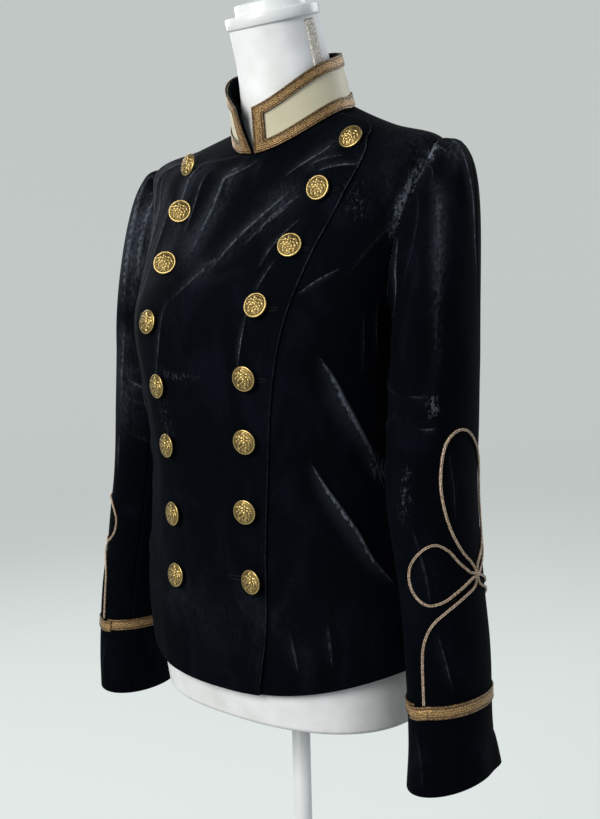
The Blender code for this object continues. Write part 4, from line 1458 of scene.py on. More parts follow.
@dataclass
class Collar:
    """The stand collar: velvet stand, satin panel and a braid frame with mitred corners."""

    surface: CollarSurface
    finishes: Finishes
    panel_wall: float = 0.0008
    braid_wall: float = 0.0012
    braid_width: float = 0.0125
    panel_inset: float = 0.0015
    braid_ribs: int = 6
    braid_cells: tuple[int, ...] = (220, 26, 220, 26)

    def grid(self, part: Array, share: Array) -> Array:
        """Turns across the collar from its left end to its right end.

        Args:
            part: Shares of the height.
            share: Shares of the way round.

        Returns:
            Turns in degrees.
        """
        end = self.surface.end(part)
        return end + (360.0 - 2 * end) * share

    def layer(self, name: str, node: str, material: Material, rise: float,
              wall: float, inset: float, roll: float, below: float = 0.0) -> Object:
        """Make one full layer.

        Args:
            name: The piece's name.
            node: The solid that it stands for.
            material: The finish.
            rise: Height of its outer face over the stand's.
            wall: Its thickness.
            inset: How far its edges stay inside the stand's.
            roll: How wide its edges round over.
            below: How far its foot reaches down in front and on the lapped side.

        Returns:
            The piece.
        """
        around = 2 * np.pi * self.surface.half_width
        up = EdgedLine(self.surface.height - 2 * inset, 0.0022, (roll, roll))
        across = EdgedLine(around - 2 * inset, 0.0025, (roll, roll))
        part = (inset + up.offsets()) / self.surface.height
        share = (inset + across.offsets()) / around
        parts, shares = np.meshgrid(part, share, indexing="ij")
        turn = self.grid(parts, shares)
        about = np.where(turn > 180.0, turn - 360.0, turn)
        reach = smooth_step(-30.0, -20.0, about) * (1.0 - smooth_step(100.0, 125.0, about))
        parts = parts - below / self.surface.height * reach * (1.0 - parts) ** 12
        places, outward = self.surface.point(parts, turn), self.surface.normal(parts, turn, 2.0)
        sunk = 1.0 - (1.0 - up.lowering()[:, None]) * (1.0 - across.lowering()[None])
        outer = places + outward * (rise - sunk * wall / 2)[..., None]
        inner = places + outward * (rise - wall + sunk * wall / 2)[..., None]
        return dress(add_shell(name, outer, inner, material), [node])

    def braid(self) -> Object:
        """Make the braid frame: one strip round the collar's four sides.

        Returns:
            The piece.
        """
        around = 2 * np.pi * self.surface.half_width
        wide, tall = self.braid_width / around, self.braid_width / self.surface.height
        corners = np.array([(1.0, 0.0), (1.0, 1.0), (0.0, 1.0), (0.0, 0.0), (1.0, 0.0)])
        inner_corners = corners + (1.0 - 2.0 * corners) * (tall, wide)
        edge, bound = (np.vstack([np.linspace(a, b, n, endpoint=False)
                                  for a, b, n in zip(line[:-1], line[1:], self.braid_cells)])
                       for line in (corners, inner_corners))
        across = np.linspace(0.0, 1.0, 6 * self.braid_ribs + 1)
        rib = np.abs(np.sin(np.pi * across * self.braid_ribs)) ** 0.6
        rib[[0, -1]] = 0.0
        places = edge[None] + (bound - edge)[None] * across[:, None, None]
        part, turn = places[..., 0], self.grid(places[..., 0], places[..., 1])
        face, outward = self.surface.point(part, turn), self.surface.normal(part, turn, 2.0)
        base = SEAM * 3 + self.panel_wall
        thick = self.braid_wall * (0.62 + 0.38 * rib)
        thick[[0, -1]] = 0.0
        outer = face + outward * (base + thick)[:, None, None]
        inner = face + outward * base
        line = outer[3 * self.braid_ribs]
        step = np.linalg.norm(np.roll(line, -1, 0) - line, axis=-1)
        length = np.concatenate([[0.0], np.cumsum(step)])
        made = add_shell("braid_collar", outer, inner, self.finishes.braid, hand=-1, closed=True,
                         weave=(length, across))
        return dress(made, ["collar_braid"])

    def build(self) -> None:
        """Make the three layers."""
        stand = self.layer("velvet_collar_stand", "collar_stand", self.finishes.velvet,
                           0.0, WALL, 0.0, EDGE_ROLL, below=0.0027)
        panel = self.layer("satin_collar_panel", "collar_panel", self.finishes.satin,
                           SEAM + self.panel_wall, self.panel_wall, self.panel_inset, 0.0008)
        braid = self.braid()


@dataclass
class Buttons:
    """Two rows of domed gilt buttons, stamped all over with a plain pattern of leaves."""

    gilt: Material
    count: int = 8
    radius: float = 0.0115
    crown: float = 0.0076
    shoulder: float = 0.005
    sides: int = 110
    # The leaves, laid outwards in a spiral, and the ring of beads, in millimetres and radians
    lobes: int = 24
    lobe_field: float = 8.5
    lobe_turn: float = 2.4
    lobe_size: tuple[float, float] = (1.8, 0.92)
    beads: int = 36
    bead_ring: float = 9.1
    relief_height: float = 0.0009
    rim_height: float = 0.0004

    def relief(self, radius: Array, turn: Array) -> Array:
        """The stamped work on the face.

        Args:
            radius: Distances from the middle.
            turn: Angles round it, in radians.

        Returns:
            Heights from 0 to 1.
        """
        x, y = 1000 * radius * np.cos(turn), 1000 * radius * np.sin(turn)
        found = np.zeros_like(x)
        for number in range(self.lobes):
            out = self.lobe_field * math.sqrt((number + 0.5) / self.lobes)
            bearing = self.lobe_turn * number
            # The sines make each leaf's lean, size and height differ
            lean = bearing + 1.3 * math.sin(2.3 * number)
            length = self.lobe_size[0] + 0.45 * math.sin(2.1 * number)
            width = self.lobe_size[1] + 0.2 * math.cos(1.3 * number)
            apart_x, apart_y = x - out * math.cos(bearing), y - out * math.sin(bearing)
            along = apart_x * math.cos(lean) + apart_y * math.sin(lean)
            across = apart_y * math.cos(lean) - apart_x * math.sin(lean)
            lobe = np.exp(-(((along / length) ** 2 + (across / width) ** 2) ** 1.4))
            found = np.maximum(found, lobe * (0.78 + 0.22 * math.cos(1.9 * number)))
        ring = np.exp(-(((1000 * radius - self.bead_ring) / 0.4) ** 2))
        beads = np.clip(np.cos(turn * self.beads), 0.0, 1.0) * ring
        return np.clip(found + 0.6 * beads, 0.0, 1.0)

    def mesh(self) -> Mesh:
        """One button, its shank's foot at the origin and its face along +Z.

        Returns:
            The mesh that all the buttons share.
        """
        turn = 2 * np.pi * np.arange(self.sides) / self.sides
        steps = np.concatenate([np.linspace(0.0003, 0.0098, 30), [0.0101, 0.0104, 0.0108, 0.0112, 0.01145]])
        dome = self.crown - self.rim_height - (self.crown - self.shoulder) * (steps / self.radius) ** 2
        rim = self.rim_height * np.sqrt(np.clip(1 - ((steps - 0.0109) / 0.0006) ** 2, 0, 1))
        # glow holds each ring's painted light, which the gilt reads: a highlight on the stamped leaves and
        # the rim's beads, shade in the hollows between, a middle value underneath
        rings, glow = [], []
        under = ((0.003, 0.0), (0.003, 0.0026), (0.0105, 0.003), (0.0113, 0.0034), (0.0115, 0.0042))
        for radius, height in under:
            rings.append(circle(radius, height, self.sides))
            glow.append(np.full(self.sides, 0.4))
        for radius, height, bead in reversed(list(zip(steps, dome, rim))):
            stamped = self.relief(np.full(self.sides, radius), turn)
            ring = circle(radius, 0.0, self.sides)
            ring[:, 2] = height + bead + self.relief_height * stamped
            rings.append(ring)
            glow.append(0.14 + 0.7 * np.clip(stamped + 0.8 * bead / self.rim_height, 0.0, 1.0))
        made = add_stack("button_pattern", rings, self.gilt)
        shine = np.concatenate([*glow, [0.4, 0.8]]).astype(np.float32)
        made.data.attributes.new("polish", "FLOAT", "POINT").data.foreach_set("value", shine)
        mesh = made.data
        bpy.data.objects.remove(made, do_unlink=True)
        return mesh

    def place(self, node: str) -> Matrix:
        """Where a button stands, read from its own solid.

        Args:
            node: The solid's name.

        Returns:
            The button's place and turn.
        """
        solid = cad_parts[node].data
        points = np.zeros(len(solid.vertices) * 3)
        solid.vertices.foreach_get("co", points)
        points = np.unique(points.reshape(-1, 3).round(6), axis=0)
        middle = points.mean(0)
        _, _, axes = np.linalg.svd(points - middle)
        axis = axes[2] * (1.0 if axes[2] @ (middle * (1.0, 1.0, 0.0)) > 0 else -1.0)
        foot = middle + axis * ((points - middle) @ axis).min()
        level = Vector(axis).to_track_quat("Z", "Y").to_matrix().to_4x4()
        return Matrix.Translation(Vector(foot)) @ level

    def build(self) -> None:
        """Make every button."""
        mesh = self.mesh()
        for side in ("left", "right"):
            for number in range(1, self.count + 1):
                node = f"button_{side}_{number}"
                made = bpy.data.objects.new(f"gilt_{node}", mesh)
                made.matrix_world = self.place(node)
                bpy.context.scene.collection.objects.link(made)
                dress(made, [node])


@dataclass
class Buttonholes:
    """Worked holes in the upper front, beside the row that fastens."""

    torso: Torso
    thread: Material
    length: float = 0.023
    width: float = 0.003
    bead: float = 0.0008
    # Run, turn of the hole's middle
    places: tuple[tuple[float, float], ...] = (
        (0.458, 35.0), (0.397, 31.0), (0.3385, 24.5), (0.275, 22.0), (0.2195, 18.0), (0.156, 15.5),
        (0.098, 11.0))
    # From the body's middle line to the holes, which turns their length into degrees
    reach: float = 0.135

    def build(self) -> None:
        """Make the holes as one piece."""
        parts = []
        steps = np.linspace(0, 2 * np.pi, 48, endpoint=False)
        half, flat = self.width / 2, (self.length - self.width) / 2
        along = np.clip(np.cos(steps) * 1.6, -1, 1) * flat + half * np.cos(steps)
        up = half * np.sin(steps)
        body = self.torso.body
        for run, turn in self.places:
            runs, turns = run + up, turn + np.degrees(along / self.reach)
            places, outward = body.point(runs, turns), body.normal(runs, turns)
            height = self.torso.pressed(runs, turns, places, False).height + body.lap_rise(runs, turns)
            middle = places + outward * (height + 0.2 * self.bead)[:, None]
            ahead = unit(np.roll(middle, -1, 0) - np.roll(middle, 1, 0))
            aside = np.cross(outward, ahead)
            for angle in np.radians(np.arange(0, 360, 60)):
                parts.append(middle + self.bead * (aside * math.cos(angle) + outward * math.sin(angle)))
        count = len(steps)
        faces = []
        here, following = np.arange(count), (np.arange(count) + 1) % count
        for hole in range(len(self.places)):
            for k in range(6):
                low, high = (hole * 6 + k) * count, (hole * 6 + (k + 1) % 6) * count
                faces.append(np.stack([low + here, low + following, high + following, high + here], -1))
        made = add_mesh("buttonholes", np.vstack(parts), np.concatenate(faces).tolist(), self.thread)
        dress(made)


@dataclass
class DressForm:
    """The limbless form, its neck cap, its pole and base."""

    body: BodySurface
    finishes: Finishes
    clearance: float = 0.0075
    seat: float = 0.0031
    seat_from: float = 0.44
    seat_to: float = 0.53
    foot_run: float = -0.042
    sides: int = 120
    foot_scale: tuple[float, float] = (0.955, 0.94)
    foot_round: float = 0.006
    cap_tilt: float = 15.5
    tape_turns: tuple[float, float] = (89.0, 91.0)
    tape_width: float = 17.5
    tape_wall: float = 0.0006
    tape_gap: float = 0.0003
    # Height, y, radius and slope of the neck's rings
    neck: tuple[tuple[float, float, float, float], ...] = (
        (1.342, 0.008, 0.05, 0.48), (1.362, 0.003, 0.046, 0.4),
        (1.39, -0.004, 0.044, 0.3), (1.4195, -0.0135, 0.0435, 0.28))
    # Radius and height of the cap, from its underside up
    cap: tuple[tuple[float, float], ...] = (
        (0.0448, 0.0), (0.0458, 0.0006), (0.0462, 0.0018), (0.0462, 0.0103), (0.0456, 0.0112),
        (0.0445, 0.0115), (0.0354, 0.0118), (0.0351, 0.0128), (0.0348, 0.0205), (0.0341, 0.0214),
        (0.0325, 0.0217), (0.02, 0.0232), (0.0085, 0.024), (0.0068, 0.025), (0.006, 0.029),
        (0.0064, 0.032), (0.0085, 0.0345), (0.0095, 0.0375), (0.0095, 0.041), (0.0084, 0.0443),
        (0.006, 0.0465), (0.0025, 0.0475))

    def skin(self, run: float) -> Array:
        """One ring of the form inside the cloth.

        Args:
            run: The ring's run from the hem.

        Returns:
            The ring's points.
        """
        turn = 360.0 * np.arange(self.sides) / self.sides
        at = np.full_like(turn, run)
        ease = self.clearance + (self.seat - self.clearance) * smooth_step(self.seat_from, self.seat_to, at)
        return self.body.point(at, turn) - self.body.normal(at, turn) * ease[:, None]

    def neck_line(self) -> Array:
        """The neck from the collar up.

        Returns:
            Its rings, the lowest first.
        """
        turn = np.radians(360.0 * np.arange(self.sides) / self.sides)
        keys = [self.skin(NECK_RUN - 0.006), self.skin(NECK_RUN)]
        for height, y, radius, slope in self.neck:
            depth = -radius * np.cos(turn)
            keys.append(np.stack([radius * np.sin(turn), y + depth, height + slope * depth], -1))
        curve = smooth_line(np.array(keys).reshape(len(keys), -1), 8)[9:]
        return curve.reshape(len(curve), self.sides, 3)

    def torso(self) -> None:
        """Make the torso and neck."""
        foot = self.skin(self.foot_run)
        level = foot[:, 2].min()
        rings = []
        for part in np.linspace(1.0, 0.0, 6):
            ring = foot.copy()
            inward = 1.0 - math.sqrt(max(0.0, 1.0 - part * part))
            ring[:, 0] *= 1.0 - (1.0 - self.foot_scale[0]) * inward
            ring[:, 1] *= 1.0 - (1.0 - self.foot_scale[1]) * inward
            ring[:, 2] = level - self.foot_round * part
            rings.append(ring)
        rings += [self.skin(run) for run in np.linspace(self.foot_run + 0.02, NECK_RUN, 80)]
        rings += list(self.neck_line())
        made = add_stack("form_shell", rings, self.finishes.shell)
        dress(made, ["form_torso"])

    def neck_tape(self) -> None:
        """Lay the lace tape that runs down the near side of the neck into the collar."""
        neck = self.neck_line()[2:-1]
        first = np.linspace(self.tape_turns[0], self.tape_turns[1], len(neck))
        share = np.array([0.0, 0.12, 0.3, 0.5, 0.7, 0.88, 1.0])
        at = (first[:, None] + self.tape_width * (share[None] - 0.5)) / 360.0 * self.sides
        low = np.floor(at).astype(int)
        rows = np.arange(len(neck))[:, None]
        places = (neck[rows, low % self.sides] * (1 - (at - low))[..., None]
                  + neck[rows, (low + 1) % self.sides] * (at - low)[..., None])
        middle = neck.mean(axis=1)[:, None]
        outward = unit((places - middle) * (1.0, 1.0, 0.0))
        thick = self.tape_wall * np.ones_like(at)
        thick[:, [0, -1]] = thick[[0, -1]] = 0.0
        made = add_shell("lace_neck_tape", places + outward * (self.tape_gap + thick)[..., None],
                         places + outward * self.tape_gap, self.finishes.lace)
        dress(made)

    def neck_cap(self) -> None:
        """Make the turned cap, tilted forward with the neck."""
        height, y = self.neck[-1][:2]
        place = Matrix.Translation((0.0, y, height)) @ Matrix.Rotation(math.radians(self.cap_tilt), 4, "X")
        place = np.array(place @ Matrix.Translation((0.0, 0.0, SEAM)))
        rings = [circle(radius, level, 96) @ place[:3, :3].T + place[:3, 3] for radius, level in self.cap]
        dress(add_stack("form_neck_cap", rings, self.finishes.enamel), ["neck_cap"])

    def stand(self) -> None:
        """Make the round base with its socket, and the pole."""
        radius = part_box("stand_base")[1].x
        profile = ((radius - 0.002, 0.0), (radius, 0.0018), (radius, 0.008), (radius - 0.0015, 0.0112),
                   (radius - 0.006, 0.014), (radius - 0.012, 0.0145), (0.04, 0.0205), (0.026, 0.0215),
                   (0.0215, 0.0232), (0.0205, 0.025), (0.02, 0.03), (0.019, 0.0315), (0.0175, 0.032))
        base = add_stack("enamel_base", [circle(r, z, 128) for r, z in profile], self.finishes.enamel)
        dress(base, ["stand_base"])
        low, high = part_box("stand_pole")
        bevel = 0.0008
        ends = ((high.x - bevel, low.z), (high.x, low.z + bevel),
                (high.x, high.z - bevel), (high.x - bevel, high.z))
        pole = add_stack("enamel_pole", [circle(r, z, 48) for r, z in ends], self.finishes.enamel)
        dress(pole, ["stand_pole"])

    def build(self) -> None:
        """Make all that the jacket stands on."""
        self.torso()
        self.neck_tape()
        self.neck_cap()
        self.stand()


@dataclass(frozen=True)
class StudioLight:
    """One soft box: its bearing and height about the jacket, its size and its power."""

    name: str
    bearing: float
    distance: float
    height: float
    size: float
    power: float
    colour: str = "FFFFFF"

    def build(self, target: Vector) -> None:
        """Hang the light and aim it.

        Args:
            target: What it is aimed at.
        """
        data = bpy.data.lights.new(self.name, "AREA")
        data.size = self.size
        data.energy = self.power
        data.color = linear(self.colour)[:3]
        lamp = bpy.data.objects.new(self.name, data)
        turn = math.radians(self.bearing)
        lamp.location = (math.sin(turn) * self.distance, -math.cos(turn) * self.distance, self.height)
        lamp.rotation_euler = (target - lamp.location).to_track_quat("-Z", "Y").to_euler()
        lamp.visible_camera = False
        bpy.context.scene.collection.objects.link(lamp)


@dataclass
class Studio:
    """The plain pale stage, its soft light and the camera."""

    floor_radius: float = 7.0
    bend_radius: float = 1.6
    wall_top: float = 6.0
    bearing: float = 42.0
    distance: float = 1.19
    eye_height: float = 1.18
    eye_aside: float = 0.007
    focal_pixels: float = 1185.0
    frame_height: float = 819.0
    horizon_row: float = 272.0
    roll: float = 1.4
    sensor: float = 36.0
    aim_height: float = 1.08
    air_colour: str = "E6EAEC"
    air_strength: float = 0.3
    lights: tuple[StudioLight, ...] = (
        StudioLight("key_box", -2.0, 2.6, 2.4, 1.5, 92.0, "FFFCF6"),
        StudioLight("fill_box", 92.0, 2.8, 1.8, 1.8, 12.0, "EEF4FF"),
        StudioLight("back_box_left", 165.0, 2.9, 2.4, 1.6, 34.0),
        StudioLight("back_box_right", -105.0, 2.9, 2.4, 1.6, 34.0),
    )

    def stage(self) -> None:
        """Make the floor, which bends up into a wall all round, out of the light's way."""
        bend = [(self.floor_radius - self.bend_radius + self.bend_radius * math.sin(a),
                 self.bend_radius * (1 - math.cos(a))) for a in np.radians(np.linspace(0, 90, 13))]
        profile = [(0.5, 0.0), *bend, (self.floor_radius, self.wall_top)]
        rings = np.array([circle(radius, height, 96) for radius, height in profile])
        count = rings.shape[1]
        here, following = np.arange(count), (np.arange(count) + 1) % count
        faces = [np.stack([k * count + here, (k + 1) * count + here, (k + 1) * count + following,
                           k * count + following], -1) for k in range(len(profile) - 1)]
        centre = np.full(count // 2, rings[..., 0].size)
        faces.append(np.stack([here[::2], here[1::2], (here[::2] + 2) % count, centre], -1))
        points = np.vstack([rings.reshape(-1, 3), [[0.0, 0.0, 0.0]]])
        made = add_mesh("pale_stage", points, np.concatenate(faces).tolist(), PlainStage().build())
        made.visible_diffuse = False

    def camera(self) -> None:
        """Stand the camera where the photograph was taken."""
        turn = math.radians(self.bearing)
        pitch = math.atan((self.frame_height / 2 - self.horizon_row) / self.focal_pixels)
        right = Vector((math.cos(turn), math.sin(turn), 0.0))
        eye = Vector((math.sin(turn) * self.distance, -math.cos(turn) * self.distance, self.eye_height))
        level = math.cos(pitch)
        ahead = Vector((-math.sin(turn) * level, math.cos(turn) * level, -math.sin(pitch)))
        above = right.cross(ahead)
        lean = math.radians(self.roll)
        across = right * math.cos(lean) - above * math.sin(lean)
        above = above * math.cos(lean) + right * math.sin(lean)
        data = bpy.data.cameras.new("photo_camera")
        data.sensor_width = data.sensor_height = self.sensor
        data.sensor_fit = "AUTO"
        data.lens = self.focal_pixels * self.sensor / self.frame_height
        made = bpy.data.objects.new("photo_camera", data)
        rotation = Matrix((across, above, -ahead)).transposed().to_4x4()
        made.matrix_world = Matrix.Translation(eye + right * self.eye_aside) @ rotation
        bpy.context.scene.collection.objects.link(made)
        bpy.context.scene.camera = made

    def build(self) -> None:
        """Set the stage, the lights, the air and the camera."""
        self.stage()
        for light in self.lights:
            light.build(Vector((0.0, 0.0, self.aim_height)))
        world = bpy.data.worlds.new("studio_air")
        world.use_nodes = True
        background = world.node_tree.nodes["Background"]
        feed(background, {"Color": linear(self.air_colour), "Strength": self.air_strength})
        bpy.context.scene.world = world
        bpy.context.scene.view_settings.view_transform = "Standard"
        self.camera()


ROLL, RIDGE, PATCH, HAZE = CreaseForm.ROLL, CreaseForm.RIDGE, CreaseForm.PATCH, CreaseForm.HAZE
# Creases of the torso, whose points are run and turn
BODY_CREASES = crease_rows(
    # Folds that the solids have too
    (((0.26, 52), (0.21, 62), (0.16, 72)), 2.2, 11, 0.0, RIDGE),
    (((0.175, 50), (0.12, 62), (0.065, 74)), 2.2, 11, 0.0, RIDGE),
    (((0.205, -74), (0.178, -63), (0.15, -52)), 3, 12, 0.12, RIDGE),
    (((0.24, 118), (0.205, 107), (0.17, 96)), 3, 13, 0.12, RIDGE),
    (((0.215, -118), (0.183, -108), (0.15, -98)), 3, 13, 0.12, RIDGE),
    # Drag lines over the chest, from the fastened shoulder down to the far side
    (((0.553, 50), (0.53, 38), (0.509, 28), (0.482, 17)), 1, 5, 0.42),
    (((0.479, 45), (0.483, 36), (0.481, 29)), 1, 4, 0.4),
    (((0.5, 40), (0.502, 33), (0.494, 26)), 0.7, 3.5, 0.26),
    (((0.457, 24), (0.437, 16), (0.417, 13)), 1.2, 4.5, 0.34),
    (((0.462, 19), (0.436, 11.5), (0.413, 6), (0.377, 0)), 2, 7.5, 0.4),
    (((0.392, 1), (0.37, -2.5), (0.348, -8)), 1.2, 6, 0.2),
    (((0.56, -62), (0.515, -54), (0.45, -56), (0.39, -62)), 1.2, 6, 0.3),
    (((0.54, -78), (0.48, -66), (0.41, -66)), 1, 5.5, 0.26),
    (((0.5, -50), (0.44, -46), (0.38, -50), (0.33, -56)), 1, 5.5, 0.26),
    (((0.43, -42), (0.38, -41), (0.335, -46)), 0.8, 4.5, 0.22),
    (((0.447, 21), (0.424, 13.5), (0.405, 9)), 0.8, 4, 0.26),
    (((0.56, -4), (0.5, -7), (0.449, -7), (0.395, -8)), 1.6, 8, 0.36),
    (((0.578, 6), (0.51, -3), (0.48, -9)), 0.8, 4.5, 0.38),
    (((0.566, -40), (0.5, -27), (0.428, -25)), 1.2, 7, 0.32),
    (((0.52, -20), (0.463, -17), (0.42, -16)), 1, 5.5, 0.26),
    (((0.47, -34), (0.42, -33), (0.37, -34)), 1, 6, 0.26),
    (((0.43, 27), (0.405, 21), (0.38, 17.5)), 1, 4, 0.28),
    (((0.387, 23.5), (0.372, 21), (0.355, 18.5)), 0.9, 3.5, 0.26),
    (((0.336, 17), (0.309, 16), (0.282, 15)), 0.7, 3, 0.46),
    (((0.353, 36.5), (0.365, 43), (0.376, 52)), 1, 3, 0.34),
    (((0.348, -10), (0.304, -12), (0.268, -18)), 1, 4.5, 0.22),
    (((0.16, 25.5), (0.135, 23.5), (0.11, 21)), 0.6, 3, 0.14),
    (((0.04, 17.5), (0.022, 16.5), (0.004, 15.5)), 1.2, 5, 0.26, RIDGE),
    (((0.055, 27), (0.038, 28.5), (0.022, 30)), 0.8, 6, 0.14, RIDGE),
    (((0.06, 42), (0.045, 42.5), (0.024, 43.5)), 0.8, 6, 0.12, RIDGE),
    # The two strong ridges under the fastened side
    (((0.292, 51), (0.275, 56.5), (0.256, 61), (0.234, 67), (0.205, 74.5), (0.172, 79)),
     3.2, 8, 0.54, ROLL, 0.38),
    (((0.199, 46), (0.184, 49.5), (0.162, 55), (0.135, 61.5), (0.108, 66.5), (0.084, 74.5)),
     2.8, 6.5, 0.54, ROLL, 0.34),
    (((0.215, 73), (0.198, 74), (0.18, 74.5)), 0.6, 3, 0.4),
    # Fine upright lines beside the near armhole
    (((0.345, 76), (0.318, 77), (0.288, 78)), 0.6, 2.8, 0.24),
    (((0.335, 70), (0.305, 71), (0.277, 71)), 0.5, 2.5, 0.18),
    # Crushed areas, shown as specks of painted highlight
    (((0.206, 72), (0.183, 83), (0.162, 94)), 0.6, 10, 0.34, PATCH),
    (((0.176, 82), (0.15, 84), (0.12, 88)), 0.5, 8, 0.34, PATCH),
    (((0.474, 41), (0.448, 47), (0.415, 56)), 0.3, 17, 0.13, PATCH),
    (((0.258, -17), (0.23, -15), (0.204, -12)), 0.4, 9, 0.16, PATCH),
    (((0.28, -16), (0.276, -8), (0.274, 2)), 0.3, 5.5, 0.2, PATCH),
    (((0.545, 90), (0.5, 82), (0.47, 66)), 0.4, 13, 0.1, PATCH),
    (((0.486, 86), (0.462, 78.6), (0.44, 75.8), (0.418, 74.8), (0.396, 75.2)),
     0.2, 6, 0.52, PATCH),
    (((0.54, -84), (0.48, -62), (0.4, -52)), 0.4, 18, 0.1, PATCH),
    # Waist and hip, far side
    (((0.3, -70), (0.262, -52), (0.235, -38)), 2.2, 8, 0.2),
    (((0.24, -82), (0.212, -60), (0.196, -44)), 2.6, 9, 0.18),
    (((0.13, -84), (0.105, -62), (0.09, -40)), 1.8, 9, 0.14),
    # Armhole drag on both fronts
    (((0.43, -74), (0.405, -62), (0.37, -50)), 1.8, 7, 0.2),
    (((0.375, -76), (0.35, -62), (0.322, -50)), 2, 8, 0.16),
    (((0.42, 76), (0.398, 66), (0.37, 57)), 1, 8, 0.03),
    # Back: drag from the shoulder blades, soft folds across the waist, long folds over the hip
    (((0.455, 128), (0.41, 140), (0.35, 150)), 2, 9, 0.17, ROLL, 0.36),
    (((0.46, 232), (0.405, 221), (0.345, 213)), 2, 9, 0.19, ROLL, 0.36),
    (((0.5, 150), (0.45, 158), (0.39, 162)), 1.2, 7, 0.22),
    (((0.51, 206), (0.455, 202), (0.4, 199)), 1.2, 7, 0.18),
    (((0.268, 112), (0.248, 135), (0.243, 160), (0.25, 178)), 2.6, 11, 0.2, ROLL, 0.42),
    (((0.232, 186), (0.226, 206), (0.236, 228), (0.258, 248)), 2.6, 11, 0.22, ROLL, 0.42),
    (((0.212, 124), (0.196, 148), (0.199, 172)), 2, 9.5, 0.16, ROLL, 0.4),
    (((0.196, 180), (0.188, 204), (0.194, 232)), 2, 9.5, 0.17, ROLL, 0.4),
    (((0.165, 140), (0.1, 150), (0.02, 154)), 2.4, 12, 0.11, RIDGE),
    (((0.16, 216), (0.095, 208), (0.015, 205)), 2.4, 12, 0.12, RIDGE),
    (((0.15, 172), (0.09, 177), (0.03, 180)), 1.6, 9, 0.09, RIDGE),
    (((0.3, 128), (0.276, 144), (0.262, 160)), 0.3, 14, 0.09, PATCH),
    (((0.215, 180), (0.18, 205), (0.17, 225)), 0.3, 16, 0.08, PATCH),
    # Areas of painted sheen, where the pile leans to the light
    (((0.48, 24), (0.44, 13), (0.405, 3), (0.36, -5)), 0.2, 16, 0.14, HAZE),
    (((0.56, 54), (0.52, 34), (0.49, 20)), 0.2, 13, 0.1, HAZE),
    (((0.585, 4), (0.51, -5), (0.43, -8), (0.36, -14)), 0.2, 18, 0.16, HAZE),
    (((0.58, -40), (0.5, -27), (0.42, -25), (0.34, -28)), 0.2, 20, 0.15, HAZE),
    (((0.57, -88), (0.5, -66), (0.42, -50), (0.33, -44)), 0.2, 36, 0.34, HAZE),
    (((0.46, -72), (0.38, -62), (0.28, -56)), 0.2, 30, 0.26, HAZE),
    (((0.54, 96), (0.49, 70), (0.44, 58)), 0.2, 22, 0.06, HAZE),
    (((0.1, -40), (0.06, 0), (0.05, 50)), 0.2, 35, 0.05, HAZE),
    (((0.56, 130), (0.52, 180), (0.56, 230)), 0.2, 50, 0.16, HAZE),
    (((0.3, 120), (0.24, 180), (0.3, 240)), 0.2, 40, 0.12, HAZE),
    (((0.486, 86), (0.462, 78), (0.43, 75), (0.402, 75)), 0.2, 6, 0.34, HAZE),
    (((0.268, 115), (0.245, 150), (0.238, 200), (0.255, 245)), 0.2, 30, 0.14, HAZE),
)
# Creases that both sleeves have: share of the cap or metres down, and angle
SLEEVE_CREASES = crease_rows(
    (((-0.96, 60), (-0.7, 78), (-0.42, 98)), 1.6, 6, 0.05),
    (((-0.96, -40), (-0.72, -56), (-0.48, -70)), 1.6, 7, 0.08),
    (((-0.985, 8), (-0.86, 10), (-0.74, 14)), 1, 4, 0.14),
    (((-0.985, -12), (-0.88, -13), (-0.78, -18)), 1, 4, 0.16),
    (((-0.985, 27), (-0.88, 29), (-0.78, 33)), 1, 4, 0.14),
    (((-0.985, 43), (-0.89, 46), (-0.8, 52)), 0.9, 4, 0.14),
    (((-0.88, 14), (-0.7, 5), (-0.5, -4), (-0.33, -9), (-0.23, -16)), 0.4, 3.6, 0.56,
     ROLL, 0.4),
    (((-0.961, 92), (-0.85, 112), (-0.7, 119), (-0.48, 126), (-0.3, 131)),
     0.6, 3.4, 0.5,
     ROLL, 0.4),
    # Bend of the elbow
    (((0.008, 158), (0.026, 120), (0.034, 84)), 1.5, 8.5, 0.03),
    (((0.064, 160), (0.06, 124), (0.048, 94)), 1.5, 8.5, 0.03),
    (((0.096, 170), (0.102, 140), (0.092, 110)), 1.5, 8, 0.03),
    (((0.02, 210), (0.04, 240), (0.046, 270)), 1.8, 8, 0.13),
    (((0.085, 205), (0.108, 236), (0.112, 262)), 1.8, 8, 0.13),
    (((-0.25, 230), (-0.12, 262), (-0.06, 290)), 2, 9, 0.12),
    (((-0.5, -70), (-0.3, -62), (-0.08, -60)), 0.8, 6, 0.14),
    # Wrist and hem
    (((0.24, 54), (0.268, 46), (0.292, 39)), 0.8, 3.5, 0.16),
    (((0.32, 98), (0.346, 88), (0.372, 84)), 1.4, 6, 0.04, RIDGE),
    (((0.33, 10), (0.352, 2), (0.376, -4)), 1.6, 8, 0.03, RIDGE),
    (((0.345, -44), (0.376, -46), (0.38, -46), (0.38, -47)), 5.2, 11, 0.0, RIDGE),
    (((0.33, 210), (0.35, 222), (0.374, 228)), 1.8, 8, 0.12, RIDGE),
    (((0.15, 70), (0.185, 62), (0.215, 60)), 0.8, 5, 0.08),
    (((0.08, 24), (0.115, 16), (0.15, 15)), 0.7, 3, 0.18),
)
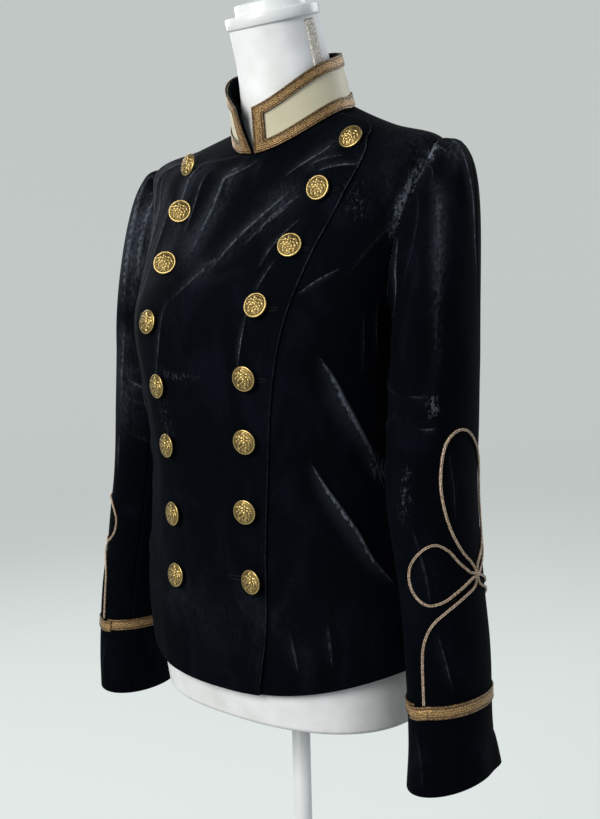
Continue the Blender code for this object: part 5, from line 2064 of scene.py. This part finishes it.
LEFT_SLEEVE_CREASES = crease_rows(
    # The broken upright streak of painted highlight and painted sheen down the middle of the sleeve
    (((-0.82, 51), (-0.64, 52), (-0.48, 50), (-0.34, 48)), 1.2, 9.5, 0.08, ROLL, 0.16),
    (((-0.42, 49), (-0.223, 44), (-0.139, 45), (-0.01, 43)), 1, 9.5, 0.07, ROLL, 0.16),
    (((-0.83, 51), (-0.6, 51), (-0.36, 48)), 0.3, 4.5, 0.15, PATCH),
    (((-0.42, 49), (-0.18, 44.5), (0.01, 42)), 0.3, 4.5, 0.13, PATCH),
    (((-0.86, 52), (-0.4, 49), (0.01, 42)), 0.2, 6, 0.17, HAZE),
    (((-0.95, 30), (-0.84, 14), (-0.6, -10)), 0.2, 18, 0.16, HAZE),
    # Pile crushed by the seam round the armhole and over the crown, shown as painted highlight specks and
    # painted sheen
    (((-0.992, 16), (-0.985, 28), (-0.985, 44)), 0.6, 6.5, 0.5, PATCH),
    (((-0.985, 40), (-0.985, 56), (-0.985, 70)), 0.6, 3.5, 0.3, PATCH),
    (((-0.99, 18), (-0.98, 40), (-0.975, 60)), 0.2, 7, 0.26, HAZE),
    (((-0.96, 26), (-0.877, 23), (-0.74, 18), (-0.64, 6)), 0.6, 8.5, 0.14, PATCH),
    # Crushed cloth in the bend of the elbow, with painted highlights
    (((0.03, 47), (0.046, 44), (0.052, 42)), 0.6, 6, 0.44, PATCH),
    (((0.061, 60), (0.062, 50), (0.061, 38)), 1.2, 3.5, 0.3),
    (((0.033, 74), (0.034, 62), (0.034, 56)), 0.8, 3, 0.2),
    (((0.09, 78), (0.117, 76), (0.15, 86)), 0.4, 7, 0.2, PATCH),
)
RIGHT_SLEEVE_CREASES = crease_rows(
    (((-0.93, 22), (-0.74, 42), (-0.48, 74), (-0.3, 88)), 2.4, 10, 0.34, ROLL, 0.36),
    (((-0.97, 44), (-0.8, 70), (-0.56, 100)), 2.2, 9, 0.32, ROLL, 0.36),
    (((-0.975, 66), (-0.86, 92), (-0.7, 112)), 1.8, 7, 0.26),
    (((-0.112, 97), (0.0, 95), (0.056, 93)), 1.2, 6, 0.24),
    (((0.035, 109), (0.046, 136)), 1.4, 6, 0.28),
    (((0.09, 88), (0.135, 86)), 0.8, 4, 0.2),
    (((-0.9, 60), (-0.6, 84), (-0.3, 92)), 0.3, 20, 0.08, PATCH),
    (((-0.96, 40), (-0.8, 60), (-0.5, 84), (-0.2, 90)), 0.2, 30, 0.3, HAZE),
    (((-0.2, 92), (0.0, 96), (0.12, 92)), 0.2, 18, 0.14, HAZE),
)


def main() -> None:
    """Build every sub-assembly in order."""
    logging.basicConfig(level=logging.INFO, format="%(name)s: %(message)s")
    Studio().build()
    finishes = Finishes()
    body = BodySurface()
    torso = Torso(body, finishes.velvet, BODY_CREASES)
    torso.build()
    for side, own, middle in ((1, LEFT_SLEEVE_CREASES, -10.0), (-1, RIGHT_SLEEVE_CREASES, -1.0)):
        Sleeve(SleeveSurface(body, side), finishes, SLEEVE_CREASES + own, middle).build()
    Collar(CollarSurface(body), finishes).build()
    Buttons(finishes.gilt).build()
    Buttonholes(torso, finishes.thread).build()
    DressForm(body, finishes).build()


if __name__ == "__main__":
    main()
